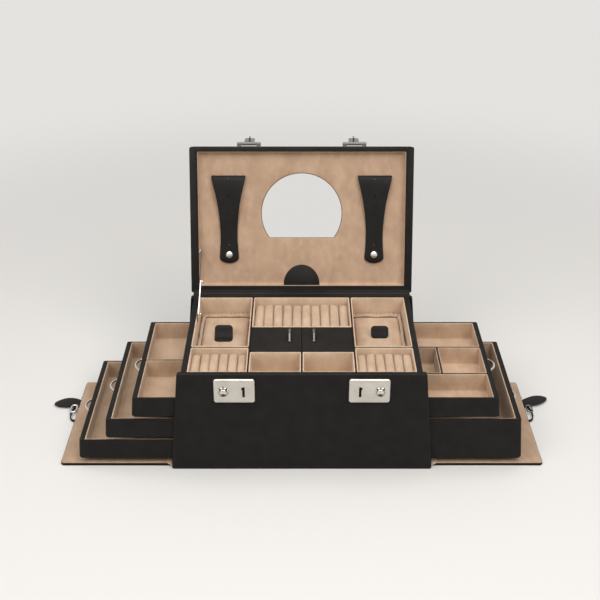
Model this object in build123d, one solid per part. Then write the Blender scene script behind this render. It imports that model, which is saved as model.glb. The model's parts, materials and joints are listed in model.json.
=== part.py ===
from build123d import *
import math
import os

# A leather-covered jewellery trunk, stored open: the lid leans back on its stay, both side flaps
# lie on the table, and the five drawers are pulled out over them like steps.
# Millimetres. X runs to the right, Y to the back and Z up. The origin is the middle of the base,
# on the table.

# ---- case -----------------------------------------------------------------------------------
case_depth = 263.0          # front face to back face
case_height = 189.0         # table to rim
case_top_width = 400.0      # front board along its top edge
side_flare = 18.0           # each side leans out by this much from rim to table
board = 8.0                 # front and back boards with their leather
base_side_gap = 1.0         # between the base board's edge and a shut flap
board_corner = 2.4          # bevel at a board's corners
edge_bevel = 0.9            # leather turned over a board's edge
base_thick = 15.0
partition_thick = 8.0
shelf_thick = 3.0
glue_gap = 0.3              # between a piece and the board that it is glued or rests against
run_gap = 0.3               # under a drawer
top_gap = 0.7               # over a drawer
cut_past = 5.0              # how far a cutting block reaches past a face
side_gap = 0.7              # between a drawer and the front or back board

# ---- flaps ----------------------------------------------------------------------------------
flap_board = 4.5
flap_lining = 1.5
flap_short = 0.9            # a shut flap's edge below the case's rim
flap_root = 1.0             # between the flap's axis and its board
flap_end_gap = 0.8          # between a flap and the front or back board
flap_corner = 4.0           # bevel at a flap's corners
spine_thick = 1.2
spine_lap = 10.0            # how far the flexible spine runs under the base
spine_gap = 1.0             # around the spine's edges
spine_sink = 0.05           # spine's top below the base's underside
spine_reach = 0.7           # past the flap's axis, up to the flap's board
hinge_inset = 0.5           # flap axis, in from the case's bottom corner and up from the table
lining_inset = 1.0          # lining inside the flap board's edge

# ---- flap tab -------------------------------------------------------------------------------
tab_length = 44.0
tab_width = 28.0
tab_tip = 9.0
tab_thick = 2.0
tab_root = 12.0             # sewn in between board and lining
tab_y = 58.0
tab_belly = 1.5             # how little the leaf narrows by half its length
tab_play = 0.05             # around the tab's root, above and below
loop_y = 24.0               # middle of the leather loop beside the tab
loop_half = 24.0
loop_reach = 12.0
loop_width = 4.5
loop_thick = 2.2
ring_radius = 5.4
ring_wire = 1.1
ring_thick = 1.8
ring_sides = 16
ring_y = 36.0
loop_lift = 0.2             # loop above the table
loop_gap = 0.1              # between the loop's ends and the flap, and loop and ring
ring_gap = 0.4              # between the ring and the flap's edge

# ---- drawers --------------------------------------------------------------------------------
drawer_back_gap = 0.92      # between a shut upper drawer and the centre partition
drawer_height = 38.0
drawer_leather = 2.6
drawer_lining = 2.2
drawer_corner = 2.0         # bevel round a drawer's ends
drawer_toe = 5.0            # larger round under its front
handle_clear = 10.0         # room between a closed drawer and a closed flap
divider_thick = 3.2
divider_drop = 2.0
# how far each drawer is pulled out
pull_left_upper = 86.8
pull_left_middle = 129.4
pull_left_lower = 173.0
pull_right_upper = 131.8
pull_right_lower = 168.0

# ---- bow handles ----------------------------------------------------------------------------
bow_span = 26.0
bow_rise = 8.0
bow_wire = 2.4              # square bar
bow_foot = 3.1
bow_foot_thick = 1.3
bow_seat = 0.9              # wire's ends above the face
bow_foot_sides = 8
bow_above = 1.0             # above the middle of a drawer's front

# ---- tray -----------------------------------------------------------------------------------
tray_wall = 9.0             # leather wall beside the tray, at the rim
tray_floor_thick = 2.0
rim_drop = 0.6              # cell rims below the case's rim
cell_wall = 2.0
cell_floor = 2.0
cell_gap = 1.4
column_x = 87.0             # middle of the partitions between the three columns
column_gap = 2.8
column_board = 2.0
row_side = -47.2            # between the front and back cells of the side columns
row_front = -60.4           # between the open and the lidded cells of the middle column
row_back = 17.3             # between the lidded cells and the ring cell
roll_below = 10.4           # ring rolls' crests below the cells' rims
roll_gap = 0.4              # between a ring pad and its cell
roll_split = 0.5            # between rolls, at the bottom of a groove
small_lid_thick = 4.0
small_lid_play = 0.6
small_lid_gap = 0.1         # between a small lid and its cell's rim
small_lid_edge = 1.0
small_lid_handle_x = 20.5
small_lid_handle_back = 3.0 # behind the lid's middle
partition_drop = 1.0        # column partitions below the cells' rims
insert_thick = 12.0
insert_play = 1.0
insert_tab_x = 28.0
insert_tab_y = 7.0
insert_tab_z = 15.0
insert_tab_back = 1.0       # behind the insert's middle

# ---- lid ------------------------------------------------------------------------------------
lid_gap = 0.4               # between the rims when the lid is shut
lid_inset = 0.5             # lid's sides inside the case's
lid_short = 1.0             # lid's front wall behind the case's front face
lid_depth = 27.0
lid_top = 5.0
lid_end_wall = 8.0
lid_hinge_wall = 12.0       # wider leather border along the hinges
lid_side_wall = 13.5
lid_corner = 2.4            # bevel at the lid's corners
lid_edge = 2.0              # bevel round its top
lid_opening = 108.6         # degrees
axis_behind = 2.4           # lid axis behind the back board
liner_thick = 9.0
liner_lip = 1.2
liner_drop = 2.0            # lip below the lid's rim
mirror_radius = 72.5
mirror_thick = 3.0
mirror_margin = 38.9        # from the lid's front wall
mirror_play = 0.2           # around it in the liner
mirror_flat = 43.6          # the straight edge, below the centre
mirror_sink = 0.8
pocket_tab_half = 32.5
pocket_tab_height = 36.0
pocket_tab_gap = 0.5        # between the tab and the liner's lip
leather = 2.0

# ---- earring straps -------------------------------------------------------------------------
strap_side_margin = 24.5    # from the lid's side wall to the strap's top end
strap_top_margin = 44.0     # from the lid's front wall
strap_waist = 107.0         # this and the next two from the lid's hinged edge
strap_flare = 62.0
strap_tip = 52.8
strap_top_width = 61.0
strap_waist_width = 30.5
strap_flare_width = 34.5
strap_hollow = 3.0          # how far each side curves in between top and waist
strap_thick = 2.2
strap_lift = 2.0            # strap above the liner, on its press stud
stud_from_back = 68.5
stud_radius = 6.3
stud_height = 2.2
stud_edge = 0.9
socket_radius = 5.0
strap_bar_inset = 3.0       # bar under the strap's top end: inside its sides
strap_bar_start = 2.0       # and from its end
strap_bar_width = 4.0

# ---- locks and hasps ------------------------------------------------------------------------
lock_x = 108.5
lock_width = 67.0
lock_height = 44.5
lock_below = 7.3            # lock's top below the case's rim
lock_proud = 5.0
lock_bevel = 2.2
lock_corner = 3.0           # bevel at its corners
lock_skin = 1.6
slot_x = 93.5
slot_width = 4.0
slot_height = 19.0
slot_drop = 23.9            # slot's middle below the lock's top
notch_width = 1.4           # the slot's step towards the button
notch_height = 4.5
notch_drop = 1.0            # below the slot's upper end
button_x = 126.0
button_radius = 6.2
button_play = 0.25
button_travel = 2.2
button_left = 0.8           # still proud of the plate when pressed
button_flange = 0.8
button_flange_sides = 8
button_lip = 1.2            # flange past the stem
button_dome = 1.4
collar_wide = 1.6           # raised collar past the button's hole
collar_thick = 1.2
flange_gap = 0.1            # between flange and plate
hasp_half = 21.0            # half the width over the outer knuckles
hasp_arm = 9.0              # half the width of the hasp's own plate
hasp_length = 46.0
hasp_thick = 1.6
hasp_axis_up = 4.5          # above the lid's rim
hasp_pin = 1.5
hasp_knuckle = 3.0
hasp_stand = 5.5            # axis in front of the lid's front wall
hasp_swing = 168.0          # degrees from latched to lying back on the lid
staple_deep = 4.2
staple_thick = 2.4
staple_play = 1.5           # staple inside the slot's ends
hasp_gap = 0.5              # between a latched hasp and its lock
hasp_corner = 5.0
hasp_shoulder = 4.0         # barrel past the hasp's plate
hasp_side_gap = 0.4         # between barrel and mount knuckle
hasp_bore_play = 0.06
window_frame = 3.5          # plate left beside the hasp's window
window_high = 6.0           # window's upper and lower edges below the axis
window_low = 15.0
mount_thick = 1.2
mount_low = 1.0             # mount plate's edges above the lid's rim
mount_high = 14.0
mount_corner = 1.8

# ---- lid hinges and stay ---------------------------------------------------------------------
hinge_x = 120.0
hinge_width = 48.0
leaf_height = 16.0
leaf_thick = 1.0
knuckle_radius = 2.1
pin_radius = 1.0
pin_play = 0.05
leaf_gap = 0.2              # leaf from the rim line
leaf_relief = 0.4           # cut round the other leaf's knuckles
leaf_relief_side = 0.1
stay_body_y = 86.0          # lower pivot, in front of the lid's axis
stay_lid_y = 78.0           # upper pivot, in front of the lid's axis when shut
stay_rise = 7.0             # both pivots above the lid's axis when the lid is shut
stay_fold_y = 19.1          # middle pivot of the folded stay, in front of the lid's axis
stay_fold_drop = 16.5       # and below it
stay_bar = 4.2
stay_thick = 1.5
stay_pin = 1.1
stay_play = 0.3
stay_boss = 2.4             # height of the rivet at the middle pivot
stay_plate = 1.3
stay_plate_half = 3.8       # half the side of the plate in the lid
stay_plate_corner = 1.6
stay_pin_past = 0.1         # pins past the arm that they carry
stay_waist = 0.6            # bar narrower than its eyes, each side
stay_foot_half = 2.8        # half the width of the plate on the cell
stay_foot_drop = 7.0        # how far that plate runs down the cell
stay_foot_rise = 3.0        # and above its pivot

# ---- derived --------------------------------------------------------------------------------
y_face = case_depth / 2
y_in = y_face - board
case_bottom_width = case_top_width + 2 * side_flare
slope = side_flare / case_height
lean = math.degrees(math.atan(slope))
flap_thick = flap_board + flap_lining
flap_axis_x = case_bottom_width / 2 - hinge_inset
flap_length = case_height / math.cos(math.radians(lean)) - flap_short
base_half = flap_axis_x - flap_thick - base_side_gap
level = [base_thick + run_gap + drawer_height * i + (run_gap + shelf_thick + top_gap) * i for i in range(3)]
tray_z = level[2] + drawer_height + top_gap
cell_z = tray_z + tray_floor_thick
cell_top = case_height - rim_drop
upper_drawer_half = case_bottom_width / 2 - slope * (tray_z - top_gap) - flap_thick - handle_clear
drawer_length = upper_drawer_half - partition_thick / 2 - drawer_back_gap
tray_half = case_top_width / 2 - flap_thick - tray_wall - 2 * glue_gap
roll_crest = cell_top - roll_below
insert_top = cell_z + cell_floor + insert_thick
lid_rim = case_height + lid_gap
lid_axis_y = y_face + axis_behind
lid_axis = Axis((0, lid_axis_y, lid_rim), (1, 0, 0))
lid_back = y_face
lid_width = case_top_width - 2 * lid_inset
lid_length = case_depth - lid_short
mirror_from_back = lid_length - lid_end_wall - mirror_margin - mirror_radius
strap_x = lid_width / 2 - lid_side_wall - strap_side_margin - strap_top_width / 2
strap_top = lid_length - lid_end_wall - strap_top_margin
pocket_tab_from_back = lid_hinge_wall + glue_gap + liner_lip + pocket_tab_gap
liner_face = lid_rim + lid_depth - lid_top - liner_thick
hasp_axis_y = lid_back - lid_length - hasp_stand
hasp_axis_z = lid_rim + hasp_axis_up
lock_face = -y_face - lock_proud
lock_top = case_height - lock_below
slot_z = lock_top - slot_drop
button_proud = button_travel + button_left


def half_width(z):
    """Half the case's width at a height above the table."""
    return case_bottom_width / 2 - slope * z


def block(x0, x1, y0, y1, z0, z1):
    """A box between two corners."""
    return Pos((x0 + x1) / 2, (y0 + y1) / 2, (z0 + z1) / 2) * Box(abs(x1 - x0), abs(y1 - y0), abs(z1 - z0))


def bevel_upright(solid, size):
    """Bevel the edges that stand upright."""
    return chamfer(solid.edges().filter_by(Axis.Z), size)


def outline_xz(points, y0, y1):
    """A solid between y0 and y1 whose section is a polygon of (x, z) points."""
    face = make_face(Polyline(*[(x, y0, z) for x, z in points], close=True))
    return extrude(face, amount=y1 - y0, dir=(0, 1, 0))


def rod(start, end, radius):
    """A round bar between two points."""
    a, b = Vector(*start), Vector(*end)
    return Plane(origin=a, z_dir=b - a) * extrude(Circle(radius), amount=(b - a).length)


def mirror_x(solid):
    """The same piece on the other side of the case."""
    return mirror(solid, about=Plane.YZ)


def open_lid(solid):
    """Swing a piece of the shut lid to where it stands open."""
    return solid.rotate(lid_axis, -lid_opening)


def save(name, *solids):
    """Write one sub-part, as one or more separate solids."""
    pieces = [s for item in solids for s in item.solids()]
    export_step(pieces[0] if len(pieces) == 1 else Compound(children=pieces), f"parts/{name}.step")


# ---- case -----------------------------------------------------------------------------------
def end_board(y0):
    """The front or back board: a trapezium, bevelled at its corners and where the leather turns over."""
    low, high = half_width(0), half_width(case_height)
    solid = outline_xz([(-low, 0), (low, 0), (high, case_height), (-high, case_height)], y0, y0 + board)
    solid = chamfer(solid.edges().filter_by(Axis.Y), board_corner)
    faces = solid.faces().filter_by(Axis.Y)
    return chamfer([e for f in faces for e in f.edges()], edge_bevel)


def base_board():
    """The floor board, rebated along both sides for the flexible spines."""
    low = base_half
    solid = outline_xz(
        [(-low, spine_thick), (low, spine_thick), (low - slope * base_thick, base_thick),
         (-low + slope * base_thick, base_thick)],
        -y_in + glue_gap, y_in - glue_gap)
    middle = low - spine_lap - spine_gap
    return solid + block(-middle, middle, -y_in + glue_gap, y_in - glue_gap, 0, spine_thick)


def shelf(side, z1):
    """A shelf that carries one drawer."""
    outer = half_width(z1) - flap_thick - handle_clear
    solid = block(partition_thick / 2, outer, -y_in + glue_gap, y_in - glue_gap, z1 - shelf_thick, z1)
    return solid if side > 0 else mirror_x(solid)


def flap(side):
    """A side flap lying on the table: board, lining and the tab's slot."""
    x0, x1 = flap_axis_x + flap_root, flap_axis_x + flap_length
    y1 = y_in - flap_end_gap
    solid = bevel_upright(block(x0, x1, -y1, y1, 0, flap_board), flap_corner)
    solid = chamfer(solid.faces().sort_by(Axis.Z)[0].edges(), edge_bevel)
    slot_half = tab_width / 2 + glue_gap
    slot = block(x1 - tab_root, x1 + cut_past, tab_y - slot_half, tab_y + slot_half,
                 flap_board - tab_thick - 2 * tab_play, flap_board + cut_past)
    solid = solid - slot
    lining = block(x0, x1 - lining_inset, -y1 + lining_inset, y1 - lining_inset, flap_board, flap_thick)
    lining = bevel_upright(lining, flap_corner - lining_inset)
    return [solid, lining] if side > 0 else [mirror_x(solid), mirror_x(lining)]


def flap_tab(side):
    """The leaf-shaped leather tab at the flap's outer edge, and the leather loop beside it."""
    x0 = flap_axis_x + flap_length - tab_root
    edge = x0 + tab_root
    shoulder = edge + tab_length - tab_tip
    tip = tab_tip / 2
    low, high = tab_y - tab_width / 2, tab_y + tab_width / 2
    outline = [
        Line((x0, low), (edge, low)),
        ThreePointArc((edge, low), (edge + tab_length / 2, low + tab_belly), (shoulder, tab_y - tip)),
        ThreePointArc((shoulder, tab_y - tip), (shoulder + tip, tab_y), (shoulder, tab_y + tip)),
        ThreePointArc((shoulder, tab_y + tip), (edge + tab_length / 2, high - tab_belly), (edge, high)),
        Line((edge, high), (x0, high)),
        Line((x0, high), (x0, low)),
    ]
    leaf = Pos(0, 0, flap_board - tab_thick - tab_play) * extrude(make_face(outline), amount=tab_thick)
    start, end = (edge + loop_gap, loop_y - loop_half), (edge + loop_gap, loop_y + loop_half)
    arc = ThreePointArc(start, (edge + loop_reach, loop_y), end)
    inner = ThreePointArc((start[0], start[1] + loop_width), (edge + loop_reach - loop_width, loop_y),
                          (end[0], end[1] - loop_width))
    ends = [Line(end, (end[0], end[1] - loop_width)), Line((start[0], start[1] + loop_width), start)]
    band = [arc, ends[0], inner, ends[1]]
    loop = Pos(0, 0, loop_lift) * extrude(make_face(band), amount=loop_thick)
    return [leaf, loop] if side > 0 else [mirror_x(leaf), mirror_x(loop)]


def flap_ring(side):
    """The flat metal ring that joins the loop to the tab, lying on the loop at the flap's edge."""
    x = flap_axis_x + flap_length + ring_radius + ring_wire + ring_gap
    hole = RegularPolygon(ring_radius - ring_wire, ring_sides)
    shape = RegularPolygon(ring_radius + ring_wire, ring_sides) - hole
    ring = Pos(x, ring_y, loop_lift + loop_thick + loop_gap) * extrude(shape, amount=ring_thick)
    return ring if side > 0 else mirror_x(ring)


def spine(side):
    """The flexible strip that hinges a flap to the base along the table."""
    solid = block(base_half - spine_lap, flap_axis_x + spine_reach, -y_in + spine_gap, y_in - spine_gap,
                  0, spine_thick - spine_sink)
    return solid if side > 0 else mirror_x(solid)


# ---- drawers --------------------------------------------------------------------------------
def drawer_profile(top_x, z0, z1, inset, floor):
    """A drawer's section along X: upright at the inner end, sloping like the flap at its front."""
    front = top_x - inset
    inner = top_x - drawer_length + inset
    return [(inner, z0 + floor), (front + slope * (z1 - z0 - floor), z0 + floor), (front, z1), (inner, z1)]


def drawer_prism(top_x, z0, z1, inset, floor, over=0):
    """The drawer's solid, inset on every side, and carried on above its rim by over."""
    points = drawer_profile(top_x, z0, z1, inset, floor)
    points[2] = (points[2][0] - slope * over, z1 + over)
    points[3] = (points[3][0], z1 + over)
    y1 = y_in - side_gap - inset
    return outline_xz(points, -y1, y1)


def drawer(side, pull, lowest, levels, rows=(), cross=()):
    """A drawer, its lining with dividers, and its bow handle.

    rows are the dividers' places along Y, and cross the (row, place) of short dividers across a row.
    """
    z0 = level[lowest]
    z1 = level[lowest + levels - 1] + drawer_height
    top_x = half_width(z1) - flap_thick - handle_clear + pull
    body = drawer_prism(top_x, z0, z1, 0, 0)
    toe = body.edges().filter_by(Axis.Y).sort_by(Axis.Z)[:2].sort_by(Axis.X)[-1]
    body = fillet(toe, drawer_toe)
    ends = body.faces().filter_by(Axis.Y)
    turned_over = [e for f in ends for e in f.edges() if e.center().Z < z1 - drawer_toe / 2]
    body = chamfer(turned_over, drawer_corner)
    body = body - drawer_prism(top_x, z0, z1, drawer_leather, drawer_leather, over=cut_past)
    lined = drawer_prism(top_x, z0, z1, drawer_leather, drawer_leather)
    inset = drawer_leather + drawer_lining
    hollow = drawer_prism(top_x, z0, z1, inset, inset, over=cut_past)
    y1 = y_in - side_gap - inset
    edges = [-y1] + list(rows) + [y1]
    for y in rows:
        wall = block(top_x - drawer_length, top_x + 2 * cut_past,
                     y - divider_thick / 2, y + divider_thick / 2, z0, z1 - divider_drop)
        hollow = hollow - wall
    for row, share in cross:
        x = top_x - inset - share * (drawer_length - 2 * inset)
        wall = block(x - divider_thick / 2, x + divider_thick / 2, edges[row], edges[row + 1],
                     z0, z1 - divider_drop)
        hollow = hollow - wall
    lined = lined - hollow
    z = (z0 + z1) / 2 + bow_above
    handle = Pos(top_x + slope * (z1 - z), 0, z) * Rot(0, -lean, 0) * bow_handle()
    pieces = [body, lined, handle]
    return pieces if side > 0 else [mirror_x(p) for p in pieces]


def bow_handle():
    """A bow handle on the face X = 0, standing towards +X: a curved bar with a foot at each end."""
    half = bow_span / 2
    rise = bow_rise - bow_seat
    radius = (half ** 2 + rise ** 2) / (2 * rise)
    axis = Axis((bow_rise - radius, 0, 0), (0, 0, 1))
    spread = math.degrees(math.asin(half / radius))
    section = Plane(origin=(bow_rise, 0, 0), z_dir=(0, 1, 0)) * Rectangle(bow_wire, bow_wire)
    bar = revolve(section, axis, revolution_arc=2 * spread).rotate(axis, -spread)
    foot = extrude(RegularPolygon(bow_foot, bow_foot_sides), amount=bow_foot_thick)
    return bar + [Pos(0, y, 0) * Rot(0, 90, 0) * foot for y in (-half, half)]


# ---- tray -----------------------------------------------------------------------------------
def cell(x0, x1, y0, y1, top):
    """A lined card cell, open at the top."""
    hollow = block(x0 + cell_wall, x1 - cell_wall, y0 + cell_wall, y1 - cell_wall,
                   cell_z + cell_floor, top + cut_past)
    return block(x0, x1, y0, y1, cell_z, top) - hollow


def tray_side_wall():
    """The leather wall beside the tray, sloping like the case's side."""
    inner = tray_half + glue_gap
    low, high = half_width(tray_z) - flap_thick - glue_gap, half_width(cell_top) - flap_thick - glue_gap
    solid = outline_xz([(inner, cell_z), (low, cell_z), (high, case_height), (inner, case_height)],
                       -y_in + glue_gap, y_in - glue_gap)
    top = solid.faces().sort_by(Axis.Z)[-1]
    return chamfer(top.edges().filter_by(Axis.Y), edge_bevel)


def ring_pad(x0, x1, y0, y1, count):
    """A padded ring insert: separate rolls side by side in a cell, each with a three-sided top."""
    inset = cell_wall + roll_gap
    x0, x1, y0, y1 = x0 + inset, x1 - inset, y0 + inset, y1 - inset
    width = (x1 - x0) / count
    floor = cell_z + cell_floor
    groove = roll_crest - width / 2
    rolls = []
    for i in range(count):
        low, high = x0 + width * i + roll_split / 2, x0 + width * (i + 1) - roll_split / 2
        top = [(high, groove), (high - width / 4, roll_crest), (low + width / 4, roll_crest), (low, groove)]
        rolls.append(outline_xz([(low, floor), (high, floor)] + top, y0, y1))
    return rolls


def insert(x0, x1, y0, y1):
    """A lift-out padded insert and its standing leather pull tab."""
    inset = cell_wall + insert_play
    z1 = insert_top
    pad = block(x0 + inset, x1 - inset, y0 + inset, y1 - inset, cell_z + cell_floor, z1)
    x, y = (x0 + x1) / 2, (y0 + y1) / 2 + insert_tab_back
    return pad + block(x - insert_tab_x / 2, x + insert_tab_x / 2, y - insert_tab_y / 2, y + insert_tab_y / 2,
                       z1, z1 + insert_tab_z)


def small_lid(side, x0, x1, y0, y1):
    """A leather lid over one cell, hinged along the partition, and its bow handle."""
    plate = block(x0, x1, y0, y1, cell_top - small_lid_thick, cell_top)
    plate = chamfer(plate.faces().sort_by(Axis.Z)[-1].edges(), small_lid_edge)
    handle_y = (y0 + y1) / 2 + small_lid_handle_back
    handle = Pos(small_lid_handle_x, handle_y, cell_top) * Rot(0, -90, 0) * bow_handle()
    return [plate, handle] if side > 0 else [mirror_x(plate), mirror_x(handle)]


# ---- lid, built shut ------------------------------------------------------------------------
def lid_shell():
    """The lid's leather shell: board walls and top, sides sloping on from the case's."""
    low, high = lid_width / 2, lid_width / 2 - slope * lid_depth
    z0, z1 = lid_rim, lid_rim + lid_depth
    y0 = lid_back - lid_length
    outer = outline_xz([(-low, z0), (low, z0), (high, z1), (-high, z1)], y0, lid_back)
    upright = [e for e in outer.edges() if abs(e.tangent_at(0.5).Z) > 0.9]
    outer = chamfer(upright, lid_corner)
    outer = chamfer(outer.faces().sort_by(Axis.Z)[-1].edges(), lid_edge)
    half = lid_width / 2 - lid_side_wall
    hollow = block(-half, half, y0 + lid_end_wall, lid_back - lid_hinge_wall, z0 - cut_past, z1 - lid_top)
    shell = outer - hollow
    rim = shell.faces().sort_by(Axis.Z)[0]
    return chamfer(rim.edges(), edge_bevel)


def lid_liner():
    """The padded liner in the lid, with a lip up its walls and a seat for the mirror."""
    half = lid_width / 2 - lid_side_wall - glue_gap
    y0, y1 = lid_back - lid_length + lid_end_wall + glue_gap, lid_back - lid_hinge_wall - glue_gap
    z1 = lid_rim + lid_depth - lid_top
    solid = block(-half, half, y0, y1, lid_rim + liner_drop, z1)
    hollow = block(-half + liner_lip, half - liner_lip, y0 + liner_lip, y1 - liner_lip, lid_rim, liner_face)
    solid = solid - hollow
    return solid - mirror_blank(mirror_radius + mirror_play, liner_face - cut_past,
                                liner_face + mirror_sink + mirror_thick)


def mirror_blank(radius, z0, z1):
    """A disc with a straight lower edge."""
    y = lid_back - mirror_from_back
    disc = Pos(0, y, (z0 + z1) / 2) * Cylinder(radius, z1 - z0)
    flat = y + mirror_flat + (radius - mirror_radius)
    return disc - block(-radius, radius, flat, y + 2 * radius, z0, z1)


def pocket_tab():
    """The half-round leather tab at the liner's hinged edge."""
    y = lid_back - pocket_tab_from_back
    r = pocket_tab_half
    shoulder = y - pocket_tab_height + r
    outline = [Line((-r, shoulder), (-r, y)), Line((-r, y), (r, y)), Line((r, y), (r, shoulder)),
               ThreePointArc((r, shoulder), (0, shoulder - r), (-r, shoulder))]
    return Pos(0, 0, liner_face - leather) * extrude(make_face(outline), amount=leather)


def strap(side):
    """An earring strap: flared where it folds over, waisted, and flared again above its round end."""
    def y(t):
        return lid_back - t

    w0, w1, w2 = strap_top_width / 2, strap_waist_width / 2, strap_flare_width / 2
    neck, neck_y = (w0 + w1) / 2 - strap_hollow, y((strap_top + strap_waist) / 2)
    outline = [Line((-w0, y(strap_top)), (w0, y(strap_top))),
               ThreePointArc((w0, y(strap_top)), (neck, neck_y), (w1, y(strap_waist))),
               Line((w1, y(strap_waist)), (w2, y(strap_flare))),
               ThreePointArc((w2, y(strap_flare)), (0, y(strap_tip)), (-w2, y(strap_flare))),
               Line((-w2, y(strap_flare)), (-w1, y(strap_waist))),
               ThreePointArc((-w1, y(strap_waist)), (-neck, neck_y), (-w0, y(strap_top)))]
    face = make_face(outline)
    z0 = liner_face - strap_lift - strap_thick
    plate = Pos(side * strap_x, 0, z0) * extrude(face, amount=strap_thick)
    stud = Pos(side * strap_x, y(stud_from_back), z0) * Cylinder(
        stud_radius, stud_height, align=(Align.CENTER, Align.CENTER, Align.MAX))
    return plate + chamfer(stud.faces().sort_by(Axis.Z)[0].edges(), stud_edge)


def stud_sockets():
    """The press-stud sockets on the liner, under the straps' ends, and the bars at their tops."""
    y = lid_back - stud_from_back
    made = []
    for side in (-1, 1):
        x = side * strap_x
        made.append(Pos(x, y, liner_face - (strap_lift - glue_gap) / 2) * Cylinder(
            socket_radius, strap_lift - glue_gap))
        start = lid_back - strap_top + strap_bar_start
        half = strap_top_width / 2 - strap_bar_inset
        made.append(block(x - half, x + half, start, start + strap_bar_width,
                          liner_face - strap_lift + glue_gap, liner_face))
    return made


# ---- locks ----------------------------------------------------------------------------------
def lock_plate(side):
    """A bevelled lock plate on the front board, hollow behind, with its slot and button hole."""
    z1, z0 = lock_top, lock_top - lock_height
    x0, x1 = lock_x - lock_width / 2, lock_x + lock_width / 2
    solid = block(x0, x1, lock_face, -y_face, z0, z1)
    solid = chamfer(solid.edges().filter_by(Axis.Y), lock_corner)
    solid = chamfer(solid.faces().sort_by(Axis.Y)[0].edges(), lock_bevel * 0.6, lock_bevel)
    rim = lock_bevel + lock_skin
    hollow = block(x0 + rim, x1 - rim, lock_face + lock_skin, -y_face + cut_past, z0 + rim, z1 - rim)
    solid = solid - hollow
    solid = solid - block(slot_x - slot_width / 2, slot_x + slot_width / 2, lock_face - cut_past, -y_face,
                          slot_z - slot_height / 2, slot_z + slot_height / 2)
    notch_top = slot_z + slot_height / 2 - notch_drop
    solid = solid - block(slot_x, slot_x + slot_width / 2 + notch_width, lock_face - cut_past, -y_face,
                          notch_top - notch_height, notch_top)
    seat = Pos(button_x, lock_face, slot_z) * Rot(90, 0, 0)
    hole = seat * Cylinder(button_radius + button_play, 4 * lock_skin)
    collar = seat * Cylinder(button_radius + collar_wide, collar_thick)
    solid = solid + collar - hole
    return solid if side > 0 else mirror_x(solid)


def lock_button(side):
    """A domed release button with a flange behind the plate."""
    front = lock_face - button_proud
    back = lock_face + lock_skin + flange_gap
    stem = Pos(button_x, (front + back) / 2, slot_z) * Rot(90, 0, 0) * Cylinder(button_radius, back - front)
    stem = chamfer(stem.faces().sort_by(Axis.Y)[0].edges(), button_dome)
    shape = RegularPolygon(button_radius + button_lip, button_flange_sides)
    flange = Pos(button_x, back, slot_z) * Rot(90, 0, 0) * extrude(shape, amount=-button_flange)
    solid = stem + flange
    return solid if side > 0 else mirror_x(solid)


def hasp_mount(side):
    """The plate on the lid's front wall with the two outer knuckles and the pin."""
    x, y, z = slot_x, hasp_axis_y, hasp_axis_z
    wall = lid_back - lid_length
    plate = block(x - hasp_half, x + hasp_half, wall - mount_thick, wall,
                  lid_rim + mount_low, lid_rim + mount_high)
    plate = chamfer(plate.edges().filter_by(Axis.Y), mount_corner)
    made = plate
    reach = hasp_arm + hasp_shoulder + hasp_side_gap
    for place in (-1, 1):
        outer, inner = x + place * hasp_half, x + place * reach
        made += rod((inner, y, z), (outer, y, z), hasp_knuckle)
        made += block(inner, outer, y, wall, z - hasp_knuckle, z + mount_low)
    made += rod((x - reach, y, z), (x + reach, y, z), hasp_pin)
    return made if side > 0 else mirror_x(made)


def hasp(side):
    """A hasp, built latched over its lock: a folded plate, its staple and the barrel on the pin."""
    x, y, z = slot_x, hasp_axis_y, hasp_axis_z
    half = hasp_arm + hasp_shoulder
    y0 = lock_face - hasp_gap - hasp_thick
    end = z - hasp_length
    plate = block(x - hasp_arm, x + hasp_arm, y0, y0 + hasp_thick, end, z)
    plate = fillet(plate.edges().filter_by(Axis.Y).sort_by(Axis.Z)[:2], hasp_corner)
    window = block(x - hasp_arm + window_frame, x + hasp_arm - window_frame, y0, y0 + hasp_thick,
                   z - window_low, z - window_high)
    plate = plate - window
    barrel = rod((x - half, y, z), (x + half, y, z), hasp_knuckle)
    link = block(x - hasp_arm, x + hasp_arm, y0, y, z - hasp_knuckle, z)
    staple = block(x - staple_thick / 2, x + staple_thick / 2, y0 + hasp_thick, y0 + hasp_thick + staple_deep,
                   slot_z - slot_height / 2 + staple_play, slot_z + slot_height / 2 - staple_play)
    solid = plate + link + barrel + staple
    bore = rod((x - half, y, z), (x + half, y, z), hasp_pin + hasp_bore_play)
    solid = solid - bore
    return solid if side > 0 else mirror_x(solid)


def hasp_open(solid):
    """Swing a hasp from latched to lying back on the lid's front wall."""
    return solid.rotate(Axis((0, hasp_axis_y, hasp_axis_z), (1, 0, 0)), -hasp_swing)


# ---- lid hinges and stay ---------------------------------------------------------------------
def knuckles(x, places):
    """Hinge knuckles on the lid's axis."""
    pitch = hinge_width / 3
    solid = None
    for i in places:
        a = x - hinge_width / 2 + pitch * i + pin_play
        one = rod((a, lid_axis_y, lid_rim), (a + pitch - 2 * pin_play, lid_axis_y, lid_rim), knuckle_radius)
        solid = one if solid is None else solid + one
    return solid


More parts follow.
